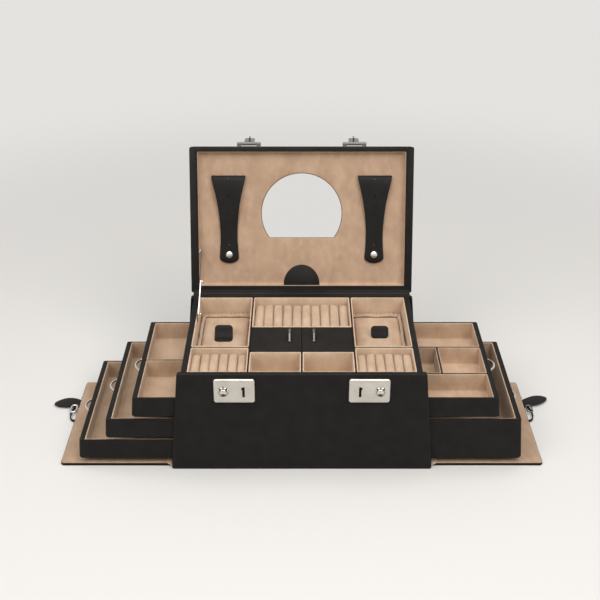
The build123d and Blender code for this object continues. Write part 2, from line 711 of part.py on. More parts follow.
def hinge_leaf(x, upper):
    """One leaf of a butt hinge: on the back board with the pin, or on the shut lid's back wall."""
    places, others = ((1,), (0, 2)) if upper else ((0, 2), (1,))
    up = 1 if upper else -1
    z0, z1 = lid_rim + up * leaf_gap, lid_rim + up * leaf_height
    pitch = hinge_width / 3
    leaf = block(x - hinge_width / 2, x + hinge_width / 2, y_face, y_face + leaf_thick, z0, z1)
    for i in others:
        a = x - hinge_width / 2 + pitch * i
        relief = knuckle_radius + leaf_relief
        leaf = leaf - block(a - leaf_relief_side, a + pitch + leaf_relief_side, y_face, y_face + leaf_thick,
                            lid_rim - relief, lid_rim + relief)
    solid = leaf + knuckles(x, places)
    reach = pitch / 2 + pin_play
    start, end = (x - reach, lid_axis_y, lid_rim), (x + reach, lid_axis_y, lid_rim)
    return solid - rod(start, end, pin_radius + pin_play) if upper else solid + rod(start, end, pin_radius)


# ---- stay -----------------------------------------------------------------------------------
def turned(y, z, degrees):
    """A (y, z) offset from the lid's axis, turned about it."""
    a = math.radians(degrees)
    return y * math.cos(a) - z * math.sin(a), y * math.sin(a) + z * math.cos(a)


def stay_points():
    """The stay's lower, middle and upper pivots with the lid open, as (y, z)."""
    low = (-stay_body_y, stay_rise)
    fold = (-stay_fold_y, -stay_fold_drop)
    lower = math.dist(low, fold)
    upper = math.dist((-stay_lid_y, stay_rise), fold)
    top = turned(-stay_lid_y, stay_rise, -lid_opening)
    span = math.dist(low, top)
    along = (lower ** 2 - upper ** 2 + span ** 2) / (2 * span)
    sag = math.sqrt(lower ** 2 - along ** 2)
    u = ((top[0] - low[0]) / span, (top[1] - low[1]) / span)
    middle = (low[0] + along * u[0] + sag * u[1], low[1] + along * u[1] - sag * u[0])
    return [(lid_axis_y + y, lid_rim + z) for y, z in (low, middle, top)]


def stay_arm(x, start, end, knob):
    """A flat bar between two pivots, bored at its start, with a rivet's knob at its end if asked."""
    r = stay_bar / 2
    a, b = Vector(x, *start), Vector(x, *end)
    bar = rod(a, a + Vector(stay_thick, 0, 0), r) + rod(b, b + Vector(stay_thick, 0, 0), r)
    across = Vector(0, -(b - a).Z, (b - a).Y).normalized() * (r - stay_waist)
    face = make_face(Polyline(a + across, b + across, b - across, a - across, close=True))
    bar += extrude(face, amount=stay_thick, dir=(1, 0, 0))
    bar -= rod(a, a + Vector(stay_thick, 0, 0), stay_pin + pin_play)
    if knob:
        boss = rod(b + Vector(stay_thick, 0, 0), b + Vector(stay_thick + stay_boss, 0, 0), r)
        bar += chamfer(boss.faces().sort_by(Axis.X)[-1].edges(), stay_waist)
    return bar


stay_low, stay_middle, stay_top = stay_points()
stay_lip = -(lid_width / 2 - lid_side_wall - glue_gap - liner_lip)     # the liner's inner wall
stay_cell = -tray_half + cell_wall                                      # the back cell's inner wall
stay_upper_x = stay_cell + stay_play
stay_lower_x = stay_upper_x + stay_thick + stay_play


def stay_lid_bracket():
    """The upper pivot's plate and pin on the liner's lip, with the lid open."""
    x = stay_lip
    y, z = lid_axis_y - stay_lid_y, lid_rim + stay_rise
    plate = block(x, x + stay_plate, y - stay_plate_half, y + stay_plate_half,
                  z - stay_plate_half, z + stay_plate_half)
    plate = chamfer(plate.edges().filter_by(Axis.X), stay_plate_corner)
    pin = rod((x, y, z), (stay_upper_x + stay_thick + stay_pin_past, y, z), stay_pin)
    return open_lid(plate + pin)


def stay_body_bracket():
    """The lower pivot's plate, on the side of the back cell, and its pin."""
    y, z = stay_low
    plate = block(stay_cell, stay_cell + stay_plate, y - stay_foot_half, y + stay_foot_half,
                  cell_top - stay_foot_drop, z + stay_foot_rise)
    plate = chamfer(plate.edges().filter_by(Axis.X), stay_plate_corner)
    return plate + rod((stay_cell, y, z), (stay_lower_x + stay_thick + stay_pin_past, y, z), stay_pin)


# ---- assembly -------------------------------------------------------------------------------
os.makedirs("parts", exist_ok=True)

save("front_board", end_board(-y_face))
save("back_board", end_board(y_in))
save("base_board", base_board())
save("centre_partition", block(-partition_thick / 2, partition_thick / 2, -y_in + glue_gap, y_in - glue_gap,
                               base_thick, tray_z))
shelf_tops = [level[1] - run_gap, level[2] - run_gap]
save("drawer_shelves", shelf(-1, shelf_tops[0]), shelf(-1, shelf_tops[1]), shelf(1, shelf_tops[1]))
save("flap_spines", spine(-1), spine(1))

tray_reach = half_width(cell_z) - flap_thick - glue_gap
save("tray_floor", block(-tray_reach, tray_reach, -y_in + glue_gap, y_in - glue_gap, tray_z, cell_z))
partition = block(column_x - column_board / 2, column_x + column_board / 2, -y_in + glue_gap, y_in - glue_gap,
                  cell_z, cell_top - partition_drop)
wall = tray_side_wall()
save("tray_walls", wall, mirror_x(wall), partition, mirror_x(partition))

y_front, y_rear = -y_in + glue_gap, y_in - glue_gap
inner = column_x - column_gap / 2
outer = column_x + column_gap / 2
half_gap = cell_gap / 2
ring_side = (outer, tray_half, y_front, row_side - half_gap)
back_side = (outer, tray_half, row_side + half_gap, y_rear)
ring_middle = (-inner, inner, row_back + half_gap, y_rear)
lidded = (half_gap, inner, row_front + half_gap, row_back - half_gap)
front_middle = (half_gap, inner, y_front, row_front - half_gap)
under_lid = cell_top - small_lid_thick - small_lid_gap
right_cells = [cell(*ring_side, cell_top), cell(*back_side, cell_top)]
save("right_tray_cells", *right_cells)
save("left_tray_cells", *[mirror_x(c) for c in right_cells])
middle_cells = [cell(*lidded, under_lid), cell(*front_middle, cell_top)]
save("centre_tray_cells", cell(*ring_middle, cell_top), *middle_cells, *[mirror_x(c) for c in middle_cells])
side_rolls = ring_pad(*ring_side, 6)
save("ring_pads", *side_rolls, *[mirror_x(r) for r in side_rolls], *ring_pad(*ring_middle, 10))

for side, name in ((-1, "left"), (1, "right")):
    flap_body, lining = flap(side)
    save(f"{name}_flap", flap_body)
    save(f"{name}_flap_lining", lining)
    save(f"{name}_flap_tab", *flap_tab(side))
    save(f"{name}_flap_ring", flap_ring(side))
    plate, handle = small_lid(side, small_lid_play / 2, lidded[1], lidded[2], lidded[3])
    save(f"{name}_small_lid", plate)
    save(f"{name}_small_lid_handle", handle)
    padded = insert(*back_side)
    save(f"{name}_insert", padded if side > 0 else mirror_x(padded))
    save(f"{name}_earring_strap", open_lid(strap(side)))
    save(f"{name}_lock_button", lock_button(side))
    save(f"{name}_hasp", open_lid(hasp_open(hasp(side))))

save("lock_plates", lock_plate(-1), lock_plate(1))

drawers = {
    "left_upper": drawer(-1, pull_left_upper, 2, 1, rows=(-6.0,)),
    "left_middle": drawer(-1, pull_left_middle, 1, 1),
    "left_lower": drawer(-1, pull_left_lower, 0, 1),
    "right_upper": drawer(1, pull_right_upper, 2, 1, rows=(-48.5, 36.0), cross=((1, 0.435),)),
    "right_lower": drawer(1, pull_right_lower, 0, 2),
}
for name, (body, lining, handle) in drawers.items():
    save(f"{name}_drawer", body)
    save(f"{name}_drawer_lining", lining)
    save(f"{name}_drawer_handle", handle)

save("lid_shell", open_lid(lid_shell()))
save("lid_liner", open_lid(lid_liner()))
mirror_face = liner_face + mirror_sink
save("mirror", open_lid(mirror_blank(mirror_radius, mirror_face, mirror_face + mirror_thick)))
save("pocket_tab", open_lid(pocket_tab()))
save("stud_sockets", *[open_lid(s) for s in stud_sockets()])
save("hasp_mounts", open_lid(hasp_mount(-1)), open_lid(hasp_mount(1)))
save("lid_hinge_leaves", open_lid(hinge_leaf(-hinge_x, True)), open_lid(hinge_leaf(hinge_x, True)))
save("body_hinges", hinge_leaf(-hinge_x, False), hinge_leaf(hinge_x, False))
save("stay_lid_bracket", stay_lid_bracket())
save("stay_upper_arm", stay_arm(stay_upper_x, stay_top, stay_middle, False))
save("stay_lower_arm", stay_arm(stay_lower_x, stay_low, stay_middle, True))
save("stay_body_bracket", stay_body_bracket())
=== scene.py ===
import json
import random
from math import asin, atan, atan2, copysign, cos, dist, pi, radians, sin, sqrt

import bmesh
import bpy
from mathutils import Matrix, Vector, noise


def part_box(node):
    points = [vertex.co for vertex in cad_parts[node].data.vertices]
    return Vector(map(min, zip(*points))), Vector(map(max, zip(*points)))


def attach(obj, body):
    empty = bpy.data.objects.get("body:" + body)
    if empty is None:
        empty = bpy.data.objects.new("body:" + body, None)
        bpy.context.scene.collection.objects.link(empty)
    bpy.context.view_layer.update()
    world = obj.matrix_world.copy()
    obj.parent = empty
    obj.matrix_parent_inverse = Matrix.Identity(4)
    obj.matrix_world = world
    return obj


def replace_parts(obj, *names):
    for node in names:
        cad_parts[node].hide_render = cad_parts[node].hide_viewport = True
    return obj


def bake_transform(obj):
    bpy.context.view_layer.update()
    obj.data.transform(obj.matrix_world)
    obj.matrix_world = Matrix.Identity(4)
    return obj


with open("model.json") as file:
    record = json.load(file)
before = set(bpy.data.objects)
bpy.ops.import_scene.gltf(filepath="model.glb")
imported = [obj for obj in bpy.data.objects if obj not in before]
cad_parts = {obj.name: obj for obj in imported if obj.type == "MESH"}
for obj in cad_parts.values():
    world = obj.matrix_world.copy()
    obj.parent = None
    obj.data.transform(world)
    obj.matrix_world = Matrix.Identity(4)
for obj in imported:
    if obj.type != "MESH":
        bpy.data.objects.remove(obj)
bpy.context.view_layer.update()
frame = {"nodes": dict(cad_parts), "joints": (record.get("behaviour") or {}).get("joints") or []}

# Looks for a leather-covered jewellery trunk. Sizes are in millimetres and turn into metres where
# meshes are made. The lid's pieces are built as if it were shut, then swung to where it stands.

MM = 0.001
nodes = frame["nodes"]
joints = {joint["name"]: joint for joint in frame["joints"]}
rng = random.Random(7)


# ---- places from the frame ----
def shift(x, y, z):
    return Matrix.Translation((x, y, z))


def turn(angle, axis):
    return Matrix.Rotation(angle, 4, axis)


def extent(points):
    """The lowest and highest corners of some points."""
    return (Vector([min(p[i] for p in points) for i in range(3)]),
            Vector([max(p[i] for p in points) for i in range(3)]))


def middle_of(low, high):
    return [(a + b) / 2 for a, b in zip(low, high)]


def box_mm(node):
    """A node's lowest and highest corners at rest, in millimetres."""
    low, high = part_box(node)
    return low / MM, high / MM


lid_axis = Vector(joints["lid_hinge"]["pos_m"]) / MM
lid_swing = radians(joints["lid_hinge"]["range_deg"][0])
to_open = shift(*lid_axis) @ turn(lid_swing, "X") @ shift(*-lid_axis)
to_shut = to_open.inverted()


def shut_box(node):
    """A lid node's lowest and highest corners with the lid shut."""
    return extent([to_shut @ point for point in shape_of(nodes[node].data)[0]])


# ---- camera, lights and stage ----
def in_scene(name, data):
    made = bpy.data.objects.new(name, data)
    bpy.context.scene.collection.objects.link(made)
    return made


def make_camera():
    camera = in_scene("camera", bpy.data.cameras.new("camera"))
    camera.location = (-0.00296, -1.5057, 1.0885)
    camera.rotation_euler = (radians(60.93), 0, 0)
    camera.data.lens = 61.8
    camera.data.sensor_width = 36
    bpy.context.scene.camera = camera


def area_light(name, place, aim, size, power, colour):
    lamp = bpy.data.lights.new(name, "AREA")
    lamp.shape = "RECTANGLE"
    lamp.size, lamp.size_y = size
    lamp.energy = power
    lamp.color = colour
    light = in_scene(name, lamp)
    light.location = place
    light.rotation_euler = (Vector(aim) - Vector(place)).to_track_quat("-Z", "Y").to_euler()


def make_lights():
    area_light("key", (1.1, -1.3, 2.0), (0, 0, 0.1), (1.4, 1.2), 24, (1.0, 0.985, 0.96))
    area_light("fill", (-1.2, -1.2, 1.9), (0, 0, 0.1), (1.4, 1.2), 18, (1.0, 0.99, 0.97))
    area_light("top", (0, -0.1, 2.2), (0, 0, 0), (1.6, 1.4), 22, (1.0, 1.0, 1.0))


backdrop = (0.78, 0.765, 0.74, 1)


class Graph:
    """Short calls for building a node tree."""

    def __init__(self, tree):
        self.tree = tree

    def feed(self, inputs, values):
        """Link each socket, and set each plain value, to the input that it is for."""
        for key, value in values.items():
            if isinstance(value, bpy.types.NodeSocket):
                self.tree.links.new(value, inputs[key])
            else:
                inputs[key].default_value = value

    def node(self, kind, values=None, **settings):
        made = self.tree.nodes.new(kind)
        for key, value in settings.items():
            setattr(made, key, value)
        self.feed(made.inputs, values or {})
        return made

    def maths(self, kind, a, b):
        return self.node("ShaderNodeMath", {0: a, 1: b}, operation=kind).outputs[0]

    def seen_directly(self):
        """1 for what the camera, a mirror or glass shows, and 0 for light on surfaces."""
        path = self.node("ShaderNodeLightPath").outputs
        first = self.maths("MAXIMUM", path["Is Camera Ray"], path["Is Glossy Ray"])
        return self.maths("MAXIMUM", first, path["Is Transmission Ray"])

    def mix_shaders(self, share, a, b):
        mix = self.node("ShaderNodeMixShader", {"Fac": share, 1: a.outputs[0], 2: b.outputs[0]})
        return mix.outputs[0]


def make_world():
    world = bpy.data.worlds.new("studio")
    bpy.context.scene.world = world
    world.use_nodes = True
    world.node_tree.nodes.clear()
    graph = Graph(world.node_tree)
    soft = graph.node("ShaderNodeBackground", {"Color": (1.0, 0.99, 0.97, 1), "Strength": 0.42})
    shown = graph.node("ShaderNodeBackground", {"Color": backdrop})
    surface = graph.mix_shaders(graph.seen_directly(), soft, shown)
    graph.node("ShaderNodeOutputWorld", {"Surface": surface})
    bpy.context.scene.view_settings.view_transform = "Standard"


def make_floor():
    """A pale floor that fades into the backdrop's plain colour away from the case."""
    reach, fade_from, fade_to = 6.0, 0.65, 1.9
    mesh = bpy.data.meshes.new("floor")
    corners = [(-reach, -reach, 0), (reach, -reach, 0), (reach, reach, 0), (-reach, reach, 0)]
    mesh.from_pydata(corners, [], [(0, 1, 2, 3)])
    s = Shading("floor")
    s.surface({"Base Color": (0.72, 0.705, 0.685, 1), "Roughness": 0.9, "Specular IOR Level": 0.2})
    plain = s.node("ShaderNodeEmission", {"Color": backdrop})
    away = s.node("ShaderNodeVectorMath", {0: s.place}, operation="LENGTH").outputs["Value"]
    fade = s.node("ShaderNodeMapRange", {"Value": away, "From Min": fade_from, "From Max": fade_to},
                  interpolation_type="SMOOTHSTEP").outputs["Result"]
    shown = s.maths("MULTIPLY", fade, s.seen_directly())
    out = s.tree.nodes["Material Output"]
    s.feed(out.inputs, {"Surface": s.mix_shaders(shown, s.shader, plain)})
    mesh.materials.append(s.material)
    in_scene("floor", mesh)


# ---- materials ----
class Shading(Graph):
    """One material's nodes, round the shader that it starts with."""

    def __init__(self, name):
        self.material = bpy.data.materials.new(name)
        self.material.use_nodes = True
        super().__init__(self.material.node_tree)
        self.shader = self.tree.nodes["Principled BSDF"]
        self.place = self.tree.nodes.new("ShaderNodeTexCoord").outputs["Object"]

    def noise(self, scale, detail=2.0, stretch=None):
        place = self.place
        if stretch:
            place = self.node("ShaderNodeMapping", {"Vector": place, "Scale": stretch}).outputs[0]
        made = self.node("ShaderNodeTexNoise", {"Vector": place, "Scale": scale, "Detail": detail})
        return made.outputs["Fac"]

    def creases(self, scale):
        return self.node("ShaderNodeTexVoronoi", {"Vector": self.place, "Scale": scale},
                         feature="DISTANCE_TO_EDGE").outputs["Distance"]

    def ramp(self, value, low, high, to_low=0.0, to_high=1.0):
        return self.node("ShaderNodeMapRange", {"Value": value, "From Min": low, "From Max": high,
                                                "To Min": to_low, "To Max": to_high}).outputs["Result"]

    def blend(self, share, a, b):
        mix = self.node("ShaderNodeMix", {"Factor": share, "A": a, "B": b}, data_type="RGBA")
        return mix.outputs["Result"]

    def edges(self, radius):
        """1 along a piece's edges and 0 on its faces."""
        rounded_normal = self.node("ShaderNodeBevel", {"Radius": radius}, samples=4).outputs["Normal"]
        flat_normal = self.node("ShaderNodeNewGeometry").outputs["Normal"]
        same = self.node("ShaderNodeVectorMath", {0: rounded_normal, 1: flat_normal},
                         operation="DOT_PRODUCT")
        return self.ramp(same.outputs["Value"], 0.97, 0.80)

    def bump(self, height, strength, distance):
        links = {"Height": height, "Strength": strength, "Distance": distance}
        return self.node("ShaderNodeBump", links).outputs["Normal"]

    def surface(self, values):
        self.feed(self.shader.inputs, values)
        return self.material


def colour4(rgb):
    return (*rgb, 1)


def leather(name, base, light, grain, roughness):
    """Black pebbled leather: cells with creases between them, broad lumps, and a painted highlight that
    lightens its edges.
    """
    s = Shading(name)
    pebble = s.ramp(s.creases(1.0 / grain), 0.0, 0.28)
    lumps = s.noise(160.0, 3.0)
    tone = s.noise(38.0, 4.0)
    body = s.blend(s.maths("MULTIPLY", s.ramp(tone, 0.35, 0.7), 0.55), colour4(base), colour4(light))
    # painted highlight: every edge is lightened towards a paler colour, standing in for the light that
    # edges catch
    edge = s.maths("MULTIPLY", s.edges(0.0011), 0.5)
    edge_highlight = colour4([min(1.0, 2.3 * c) for c in light])
    rough = s.ramp(s.maths("ADD", s.maths("MULTIPLY", pebble, 0.5), tone), 0.3, 1.2,
                   roughness + 0.08, roughness - 0.06)
    height = s.maths("ADD", s.maths("MULTIPLY", pebble, 0.7), s.maths("MULTIPLY", lumps, 0.6))
    return s.surface({"Base Color": s.blend(edge, body, edge_highlight), "Roughness": rough,
                      "Specular IOR Level": 0.16, "Normal": s.bump(height, 0.34, 0.00022)})


def suede(name, base, light, dark):
    """Beige suede cloth: a short nap with brushed patches and fine fibres, and a painted highlight along
    its edges.
    """
    s = Shading(name)
    patches = s.noise(26.0, 5.0)
    streaks = s.noise(90.0, 3.0, stretch=(1.0, 0.35, 0.6))
    first = s.blend(s.ramp(patches, 0.38, 0.66), colour4(dark), colour4(base))
    second = s.blend(s.ramp(streaks, 0.45, 0.75, 0.0, 0.5), first, colour4(light))
    fibres = s.noise(2400.0, 3.0)
    speck = s.ramp(fibres, 0.3, 0.7, 0.93, 1.06)
    tint = s.node("ShaderNodeHueSaturation", {"Color": second, "Value": speck}).outputs["Color"]
    # painted highlight: the edges of rims, walls and boards are lightened towards a pale colour
    rim = s.maths("MULTIPLY", s.edges(0.0012), 0.55)
    pale = colour4([min(0.92, 1.35 * c + 0.06) for c in light])
    weave = s.maths("ADD", fibres, s.maths("MULTIPLY", s.noise(420.0, 3.0), 0.8))
    return s.surface({"Base Color": s.blend(rim, tint, pale), "Roughness": 0.92,
                      "Specular IOR Level": 0.12, "Sheen Weight": 0.22, "Sheen Roughness": 0.45,
                      "Sheen Tint": (0.95, 0.82, 0.70, 1), "Normal": s.bump(weave, 0.30, 0.00020)})


def nickel(name, base, roughness, brushed):
    """Plated metal: satin where it is brushed, near polished where it is turned or drawn."""
    s = Shading(name)
    stain = s.ramp(s.noise(55.0, 4.0), 0.35, 0.7)
    dull = colour4([0.86 * c for c in base])
    lines = s.noise(500.0, 3.0, stretch=(0.06, 1.0, 1.0)) if brushed else s.noise(700.0, 2.0)
    return s.surface({"Base Color": s.blend(stain, dull, colour4(base)), "Metallic": 1.0,
                      "Roughness": s.ramp(lines, 0.3, 0.7, roughness - 0.05, roughness + 0.07),
                      "Normal": s.bump(lines, 0.10 if brushed else 0.04, 0.00006)})


def mirror_glass(name):
    """Silvered glass with the faintest haze."""
    s = Shading(name)
    return s.surface({"Base Color": (0.93, 0.93, 0.925, 1), "Metallic": 1.0,
                      "Roughness": s.ramp(s.noise(30.0, 3.0), 0.3, 0.7, 0.015, 0.05)})


make_camera()
make_lights()
make_world()
make_floor()

black = leather("black_leather", (0.0085, 0.0076, 0.0067), (0.0145, 0.0131, 0.0117), 0.00105, 0.60)
supple = leather("supple_leather", (0.0085, 0.0077, 0.0068), (0.0150, 0.0137, 0.0121), 0.0009, 0.50)
beige = suede("beige_suede", (0.468, 0.322, 0.222), (0.545, 0.390, 0.278), (0.398, 0.265, 0.178))
drawer_beige = suede("drawer_suede", (0.560, 0.400, 0.280), (0.640, 0.475, 0.345), (0.480, 0.335, 0.225))
ribbon_pink = suede("ribbon_cloth", (0.640, 0.440, 0.360), (0.720, 0.520, 0.440), (0.560, 0.370, 0.300))
cell_beige = suede("cell_suede", (0.640, 0.480, 0.350), (0.710, 0.548, 0.415), (0.560, 0.410, 0.290))
padded_beige = suede("padded_suede", (0.530, 0.390, 0.280), (0.610, 0.465, 0.345), (0.455, 0.322, 0.222))
satin = nickel("satin_nickel", (0.66, 0.625, 0.565), 0.30, True)
polished = nickel("polished_nickel", (0.72, 0.70, 0.66), 0.16, False)
dark_nickel = nickel("dark_nickel", (0.20, 0.19, 0.175), 0.24, False)
# painted shade: a near-black metal for dark pieces that stand for shade, and for the upper stay arm that
# lies in shade
painted_shade_metal = nickel("painted_shade_metal", (0.055, 0.050, 0.046), 0.30, False)
glass = mirror_glass("mirror_glass")


def finish_cad(material, *names):
    """Give CAD nodes that keep their shape a material."""
    for name in names:
        slots = nodes[name].data.materials
        slots.clear()
        slots.append(material)


# ---- meshes ----
def as_object(shape, name="work"):
    """An object from a shape's points and faces in millimetres, its faces turned outwards."""
    mesh = bpy.data.meshes.new(name)
    mesh.from_pydata([Vector(p) * MM for p in shape[0]], [], shape[1])
    mesh.validate()
    solid = bmesh.new()
    solid.from_mesh(mesh)
    bmesh.ops.recalc_face_normals(solid, faces=solid.faces)
    solid.to_mesh(mesh)
    solid.free()
    return in_scene(name, mesh)


def piece(name, shape, material, body, sharp=38):
    """A finished piece, smooth but for edges sharper than an angle in degrees."""
    made = as_object(shape, name)
    made.data.materials.append(material)
    made.data.shade_smooth()
    made.data.set_sharp_from_angle(angle=radians(sharp))
    if body:
        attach(made, body)
    return made


def lofted(rings, capped=True):
    """Points and faces of a skin over closed rings that all have as many points."""
    count = len(rings[0])
    points = [p for ring in rings for p in ring]
    faces = []
    for row in range(len(rings) - 1):
        for i in range(count):
            j = (i + 1) % count
            a, b = row * count, (row + 1) * count
            faces.append((a + i, a + j, b + j, b + i))
    if capped:
        faces.append(tuple(reversed(range(count))))
        last = (len(rings) - 1) * count
        faces.append(tuple(last + i for i in range(count)))
    return points, faces


def closing(rows, count):
    """Faces that join a skin's last ring back to its first."""
    last = (rows - 1) * count
    return [(last + i, last + (i + 1) % count, (i + 1) % count, i) for i in range(count)]


def joined(parts):
    """Several (points, faces) as one."""
    points, faces = [], []
    for some_points, some_faces in parts:
        start = len(points)
        points += some_points
        faces += [tuple(start + i for i in face) for face in some_faces]
    return points, faces


def rounded(x0, x1, y0, y1, radius, z, corner_steps=5, side_steps=8):
    """A closed ring: a rectangle with round corners, its sides divided."""
    radius = max(radius, 0.05)
    ring = []
    corners = [(x1 - radius, y1 - radius, 0), (x0 + radius, y1 - radius, 90),
               (x0 + radius, y0 + radius, 180), (x1 - radius, y0 + radius, 270)]
    for k, (cx, cy, start) in enumerate(corners):
        for i in range(corner_steps + 1):
            a = radians(start + 90 * i / corner_steps)
            ring.append(Vector((cx + radius * cos(a), cy + radius * sin(a), z)))
        next_x, next_y, next_start = corners[(k + 1) % 4]
        b = radians(next_start)
        end = Vector((next_x + radius * cos(b), next_y + radius * sin(b), z))
        begin = ring[-1].copy()
        for i in range(1, side_steps):
            ring.append(begin.lerp(end, i / side_steps))
    return ring


def signed_power(value, power):
    """A power that keeps its value's sign, for rings between round and square."""
    return copysign(abs(value) ** power, value)


def cloth_wave(x, y, size, height, seed=0.0):
    """A small, repeatable unevenness, as in cloth glued over card."""
    return height * noise.noise(Vector((x / size, y / size, seed)))


# ---- lined cells ----
def lined_cell(x0, x1, y0, y1, z0, z1, wall, corner, slope0=0.0, slope1=0.0, seed=0.0):
    """An open box of lined card with a soft rounded rim and a slightly stuffed floor.

    slope0 and slope1 say how much the walls at x0 and x1 lean out for each millimetre down.
    """
    def ring(inset, z, radius):
        drop = z1 - z
        left, right = x0 - slope0 * drop + inset, x1 + slope1 * drop - inset
        return rounded(left, right, y0 + inset, y1 - inset, radius, z)

    floor, crown, half = 2.0, 0.9, wall / 2
    rings = [ring(0.3, z0, corner), ring(0, z0 + 0.5, corner), ring(0, z1 - half, corner)]
    for step in range(1, 6):
        a = pi * step / 6
        rings.append(ring(half - half * cos(a), z1 - half + half * sin(a), corner - half))
    inner = max(corner - wall, 1.2)
    rings.append(ring(wall, z1 - half, inner))
    bottom = z0 + floor
    for share in (0.66, 0.33):
        rings.append(ring(wall + 0.25, bottom + (z1 - half - bottom) * share, inner))
    for inset, rise in ((0, 1.6), (0.5, 0.45), (1.8, 0)):
        rings.append(ring(wall + inset, bottom + rise, inner))
    limit = min(x1 - x0, y1 - y0) / 2 - wall - 2
    for inset, share in ((6.0, 0.55), (12.0, 0.9)):
        if wall + inset < limit:
            rings.append(ring(wall + inset, bottom + crown * share, inner))
    inside = rings[8:]
    for layer in inside:
        for p in layer:
            p.x += cloth_wave(p.y, p.z, 22, 0.35, seed)
            p.y += cloth_wave(p.x, p.z, 22, 0.35, seed + 5)
            p.z += cloth_wave(p.x, p.y, 18, 0.22, seed + 9) if p.z < z1 - wall else 0
    return lofted(rings)


def tray_cells():
    """The cells of the tray: two columns of two at the sides and five cells in the middle."""
    corner, wall, shy, below_rim = 2.4, 2.0, 1.35, 0.9
    boards = []
    for name in ("left_tray_cells", "centre_tray_cells", "right_tray_cells"):
        cells = solid_boxes(name)
        found = []
        left, right = min(low.x for low, high in cells), max(high.x for low, high in cells)
        front, back = min(low.y for low, high in cells), max(high.y for low, high in cells)
        for k, (low, high) in enumerate(cells):
            x0 = low.x + (shy / 2 if low.x > left + 1 else 0)
            x1 = high.x - (shy / 2 if high.x < right - 1 else 0)
            y0 = low.y + (shy if low.y > front + 1 else 0)
            y1 = high.y - (shy if high.y < back - 1 else 0)
            found.append(lined_cell(x0, x1, y0, y1, low.z, high.z, wall, corner, seed=k * 3.1))
        made = piece(name.replace("_cells", "_lined_cells"), joined(found), cell_beige, "case")
        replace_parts(made, name)
        bottom, top = cells[0][0].z, cells[0][1].z - below_rim
        for y in sorted({round(high.y, 1) for low, high in cells if high.y < back - 1}):
            boards.append(slab(left, right, y - shy, y + shy + 0.4, bottom, top))
    low, high = solid_boxes("centre_tray_cells")[0]
    half = shy / 2 + 0.2
    boards.append(slab(-half, half, low.y, high.y - shy, low.z, high.z - below_rim))
    piece("tray_divider_boards", joined(boards), black, "case")


def slab(x0, x1, y0, y1, z0, z1, edge=0.15):
    """A thin upright board with its top edges turned."""
    levels = ((0, 0.1, z0), (0, 0.1, z1 - edge), (edge, 0.05, z1))
    return lofted([rounded(x0 + e, x1 - e, y0 + e, y1 - e, radius, z, 2, 2) for e, radius, z in levels])


def solid_boxes(node):
    """The boxes in millimetres of a node's separate solids."""
    mesh = nodes[node].data
    keys = [tuple(round(c, 6) for c in vertex.co) for vertex in mesh.vertices]
    solid_of = {key: {key} for key in keys}
    for face in mesh.polygons:
        whole = set().union(*(solid_of[keys[i]] for i in face.vertices))
        solid_of.update({key: whole for key in whole})
    solids = {id(solid): solid for solid in solid_of.values()}.values()
    boxes = [extent([Vector(p) / MM for p in solid]) for solid in solids]
    return sorted(boxes, key=lambda b: (round(b[0].x), round(b[0].y)))


# ---- drawers' linings ----
side_slope = 18.0 / 189.0
lining_wall = 2.2
divider = 5.0
front_thick = 5.6           # board behind a drawer's pull side
# each drawer's dividers along Y, and for a row that is crossed, how far from its outer end
drawer_rows = {
    "left_upper": ((-6.0,), {}),
    "left_middle": ((), {}),
    "left_lower": ((), {}),
    "right_upper": ((-48.5, 36.0), {1: 0.435}),
    "right_lower": ((), {}),
}


def drawer_linings():
    """Each compartment is a lined cell of its own, with a line of leather between neighbours."""
    thin = 1.1              # a cell's wall towards a neighbour
    gap = divider / 2 - thin
    for name, (rows, crossed) in drawer_rows.items():
        low, high = box_mm(f"{name}_drawer_lining")
        body = f"{name}_drawer"
        outward = -1 if name.startswith("left") else 1
        rise = high.z - low.z
        # the front wall leans out, so its top edge lies inside the box
        slope0, slope1 = (side_slope, 0) if outward < 0 else (0, side_slope)
        top0, top1 = low.x + slope0 * rise, high.x - slope1 * rise
        outer_top = top0 if outward < 0 else top1
        front = []
        for drop in (rise - 2, 0.6, 0):
            ends = [outer_top + outward * (side_slope * drop - depth) for depth in (0.05, front_thick)]
            front.append(rounded(min(ends), max(ends), low.y + 0.1, high.y - 0.1, 0.4, high.z - drop,
                                 3, 6))
        piece(f"{name}_thick_front", lofted(front), black, body)
        top0 += front_thick if outward < 0 else 0
        top1 -= front_thick if outward > 0 else 0
        edges = [low.y] + list(rows) + [high.y]
        whole = len(edges) == 2
        wall, drop = (lining_wall, 0.0) if whole else ((lining_wall + thin) / 2, 0.4)
        cells, strips = [], []
        for k in range(len(edges) - 1):
            y0 = edges[k] + (gap if k else 0)
            y1 = edges[k + 1] - (gap if k + 2 < len(edges) else 0)
            spans = [(top0, top1, slope0, slope1)]
            if k in crossed:
                across = top1 - lining_wall - crossed[k] * (top1 - top0 - 2 * lining_wall)
                spans = [(top0, across - gap, slope0, 0), (across + gap, top1, 0, slope1)]
                strips.append((across - gap, across + gap, y0, y1))
            for n, (x0, x1, s0, s1) in enumerate(spans):
                seed = len(name) + k * 2.3 + n
                cells.append(lined_cell(x0, x1, y0, y1, low.z, high.z - drop, wall, 3.0, s0, s1,
                                        seed=seed))
        strips += [(top0 + 2, top1 - 2, y - gap, y + gap) for y in rows]
        lining = piece(f"{name}_lined_cells", joined(cells), drawer_beige, body)
        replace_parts(lining, f"{name}_drawer_lining")
        if strips:
            made = [slab(*strip, low.z + 3, high.z - 0.5) for strip in strips]
            piece(f"{name}_divider_edges", joined(made), supple, body)


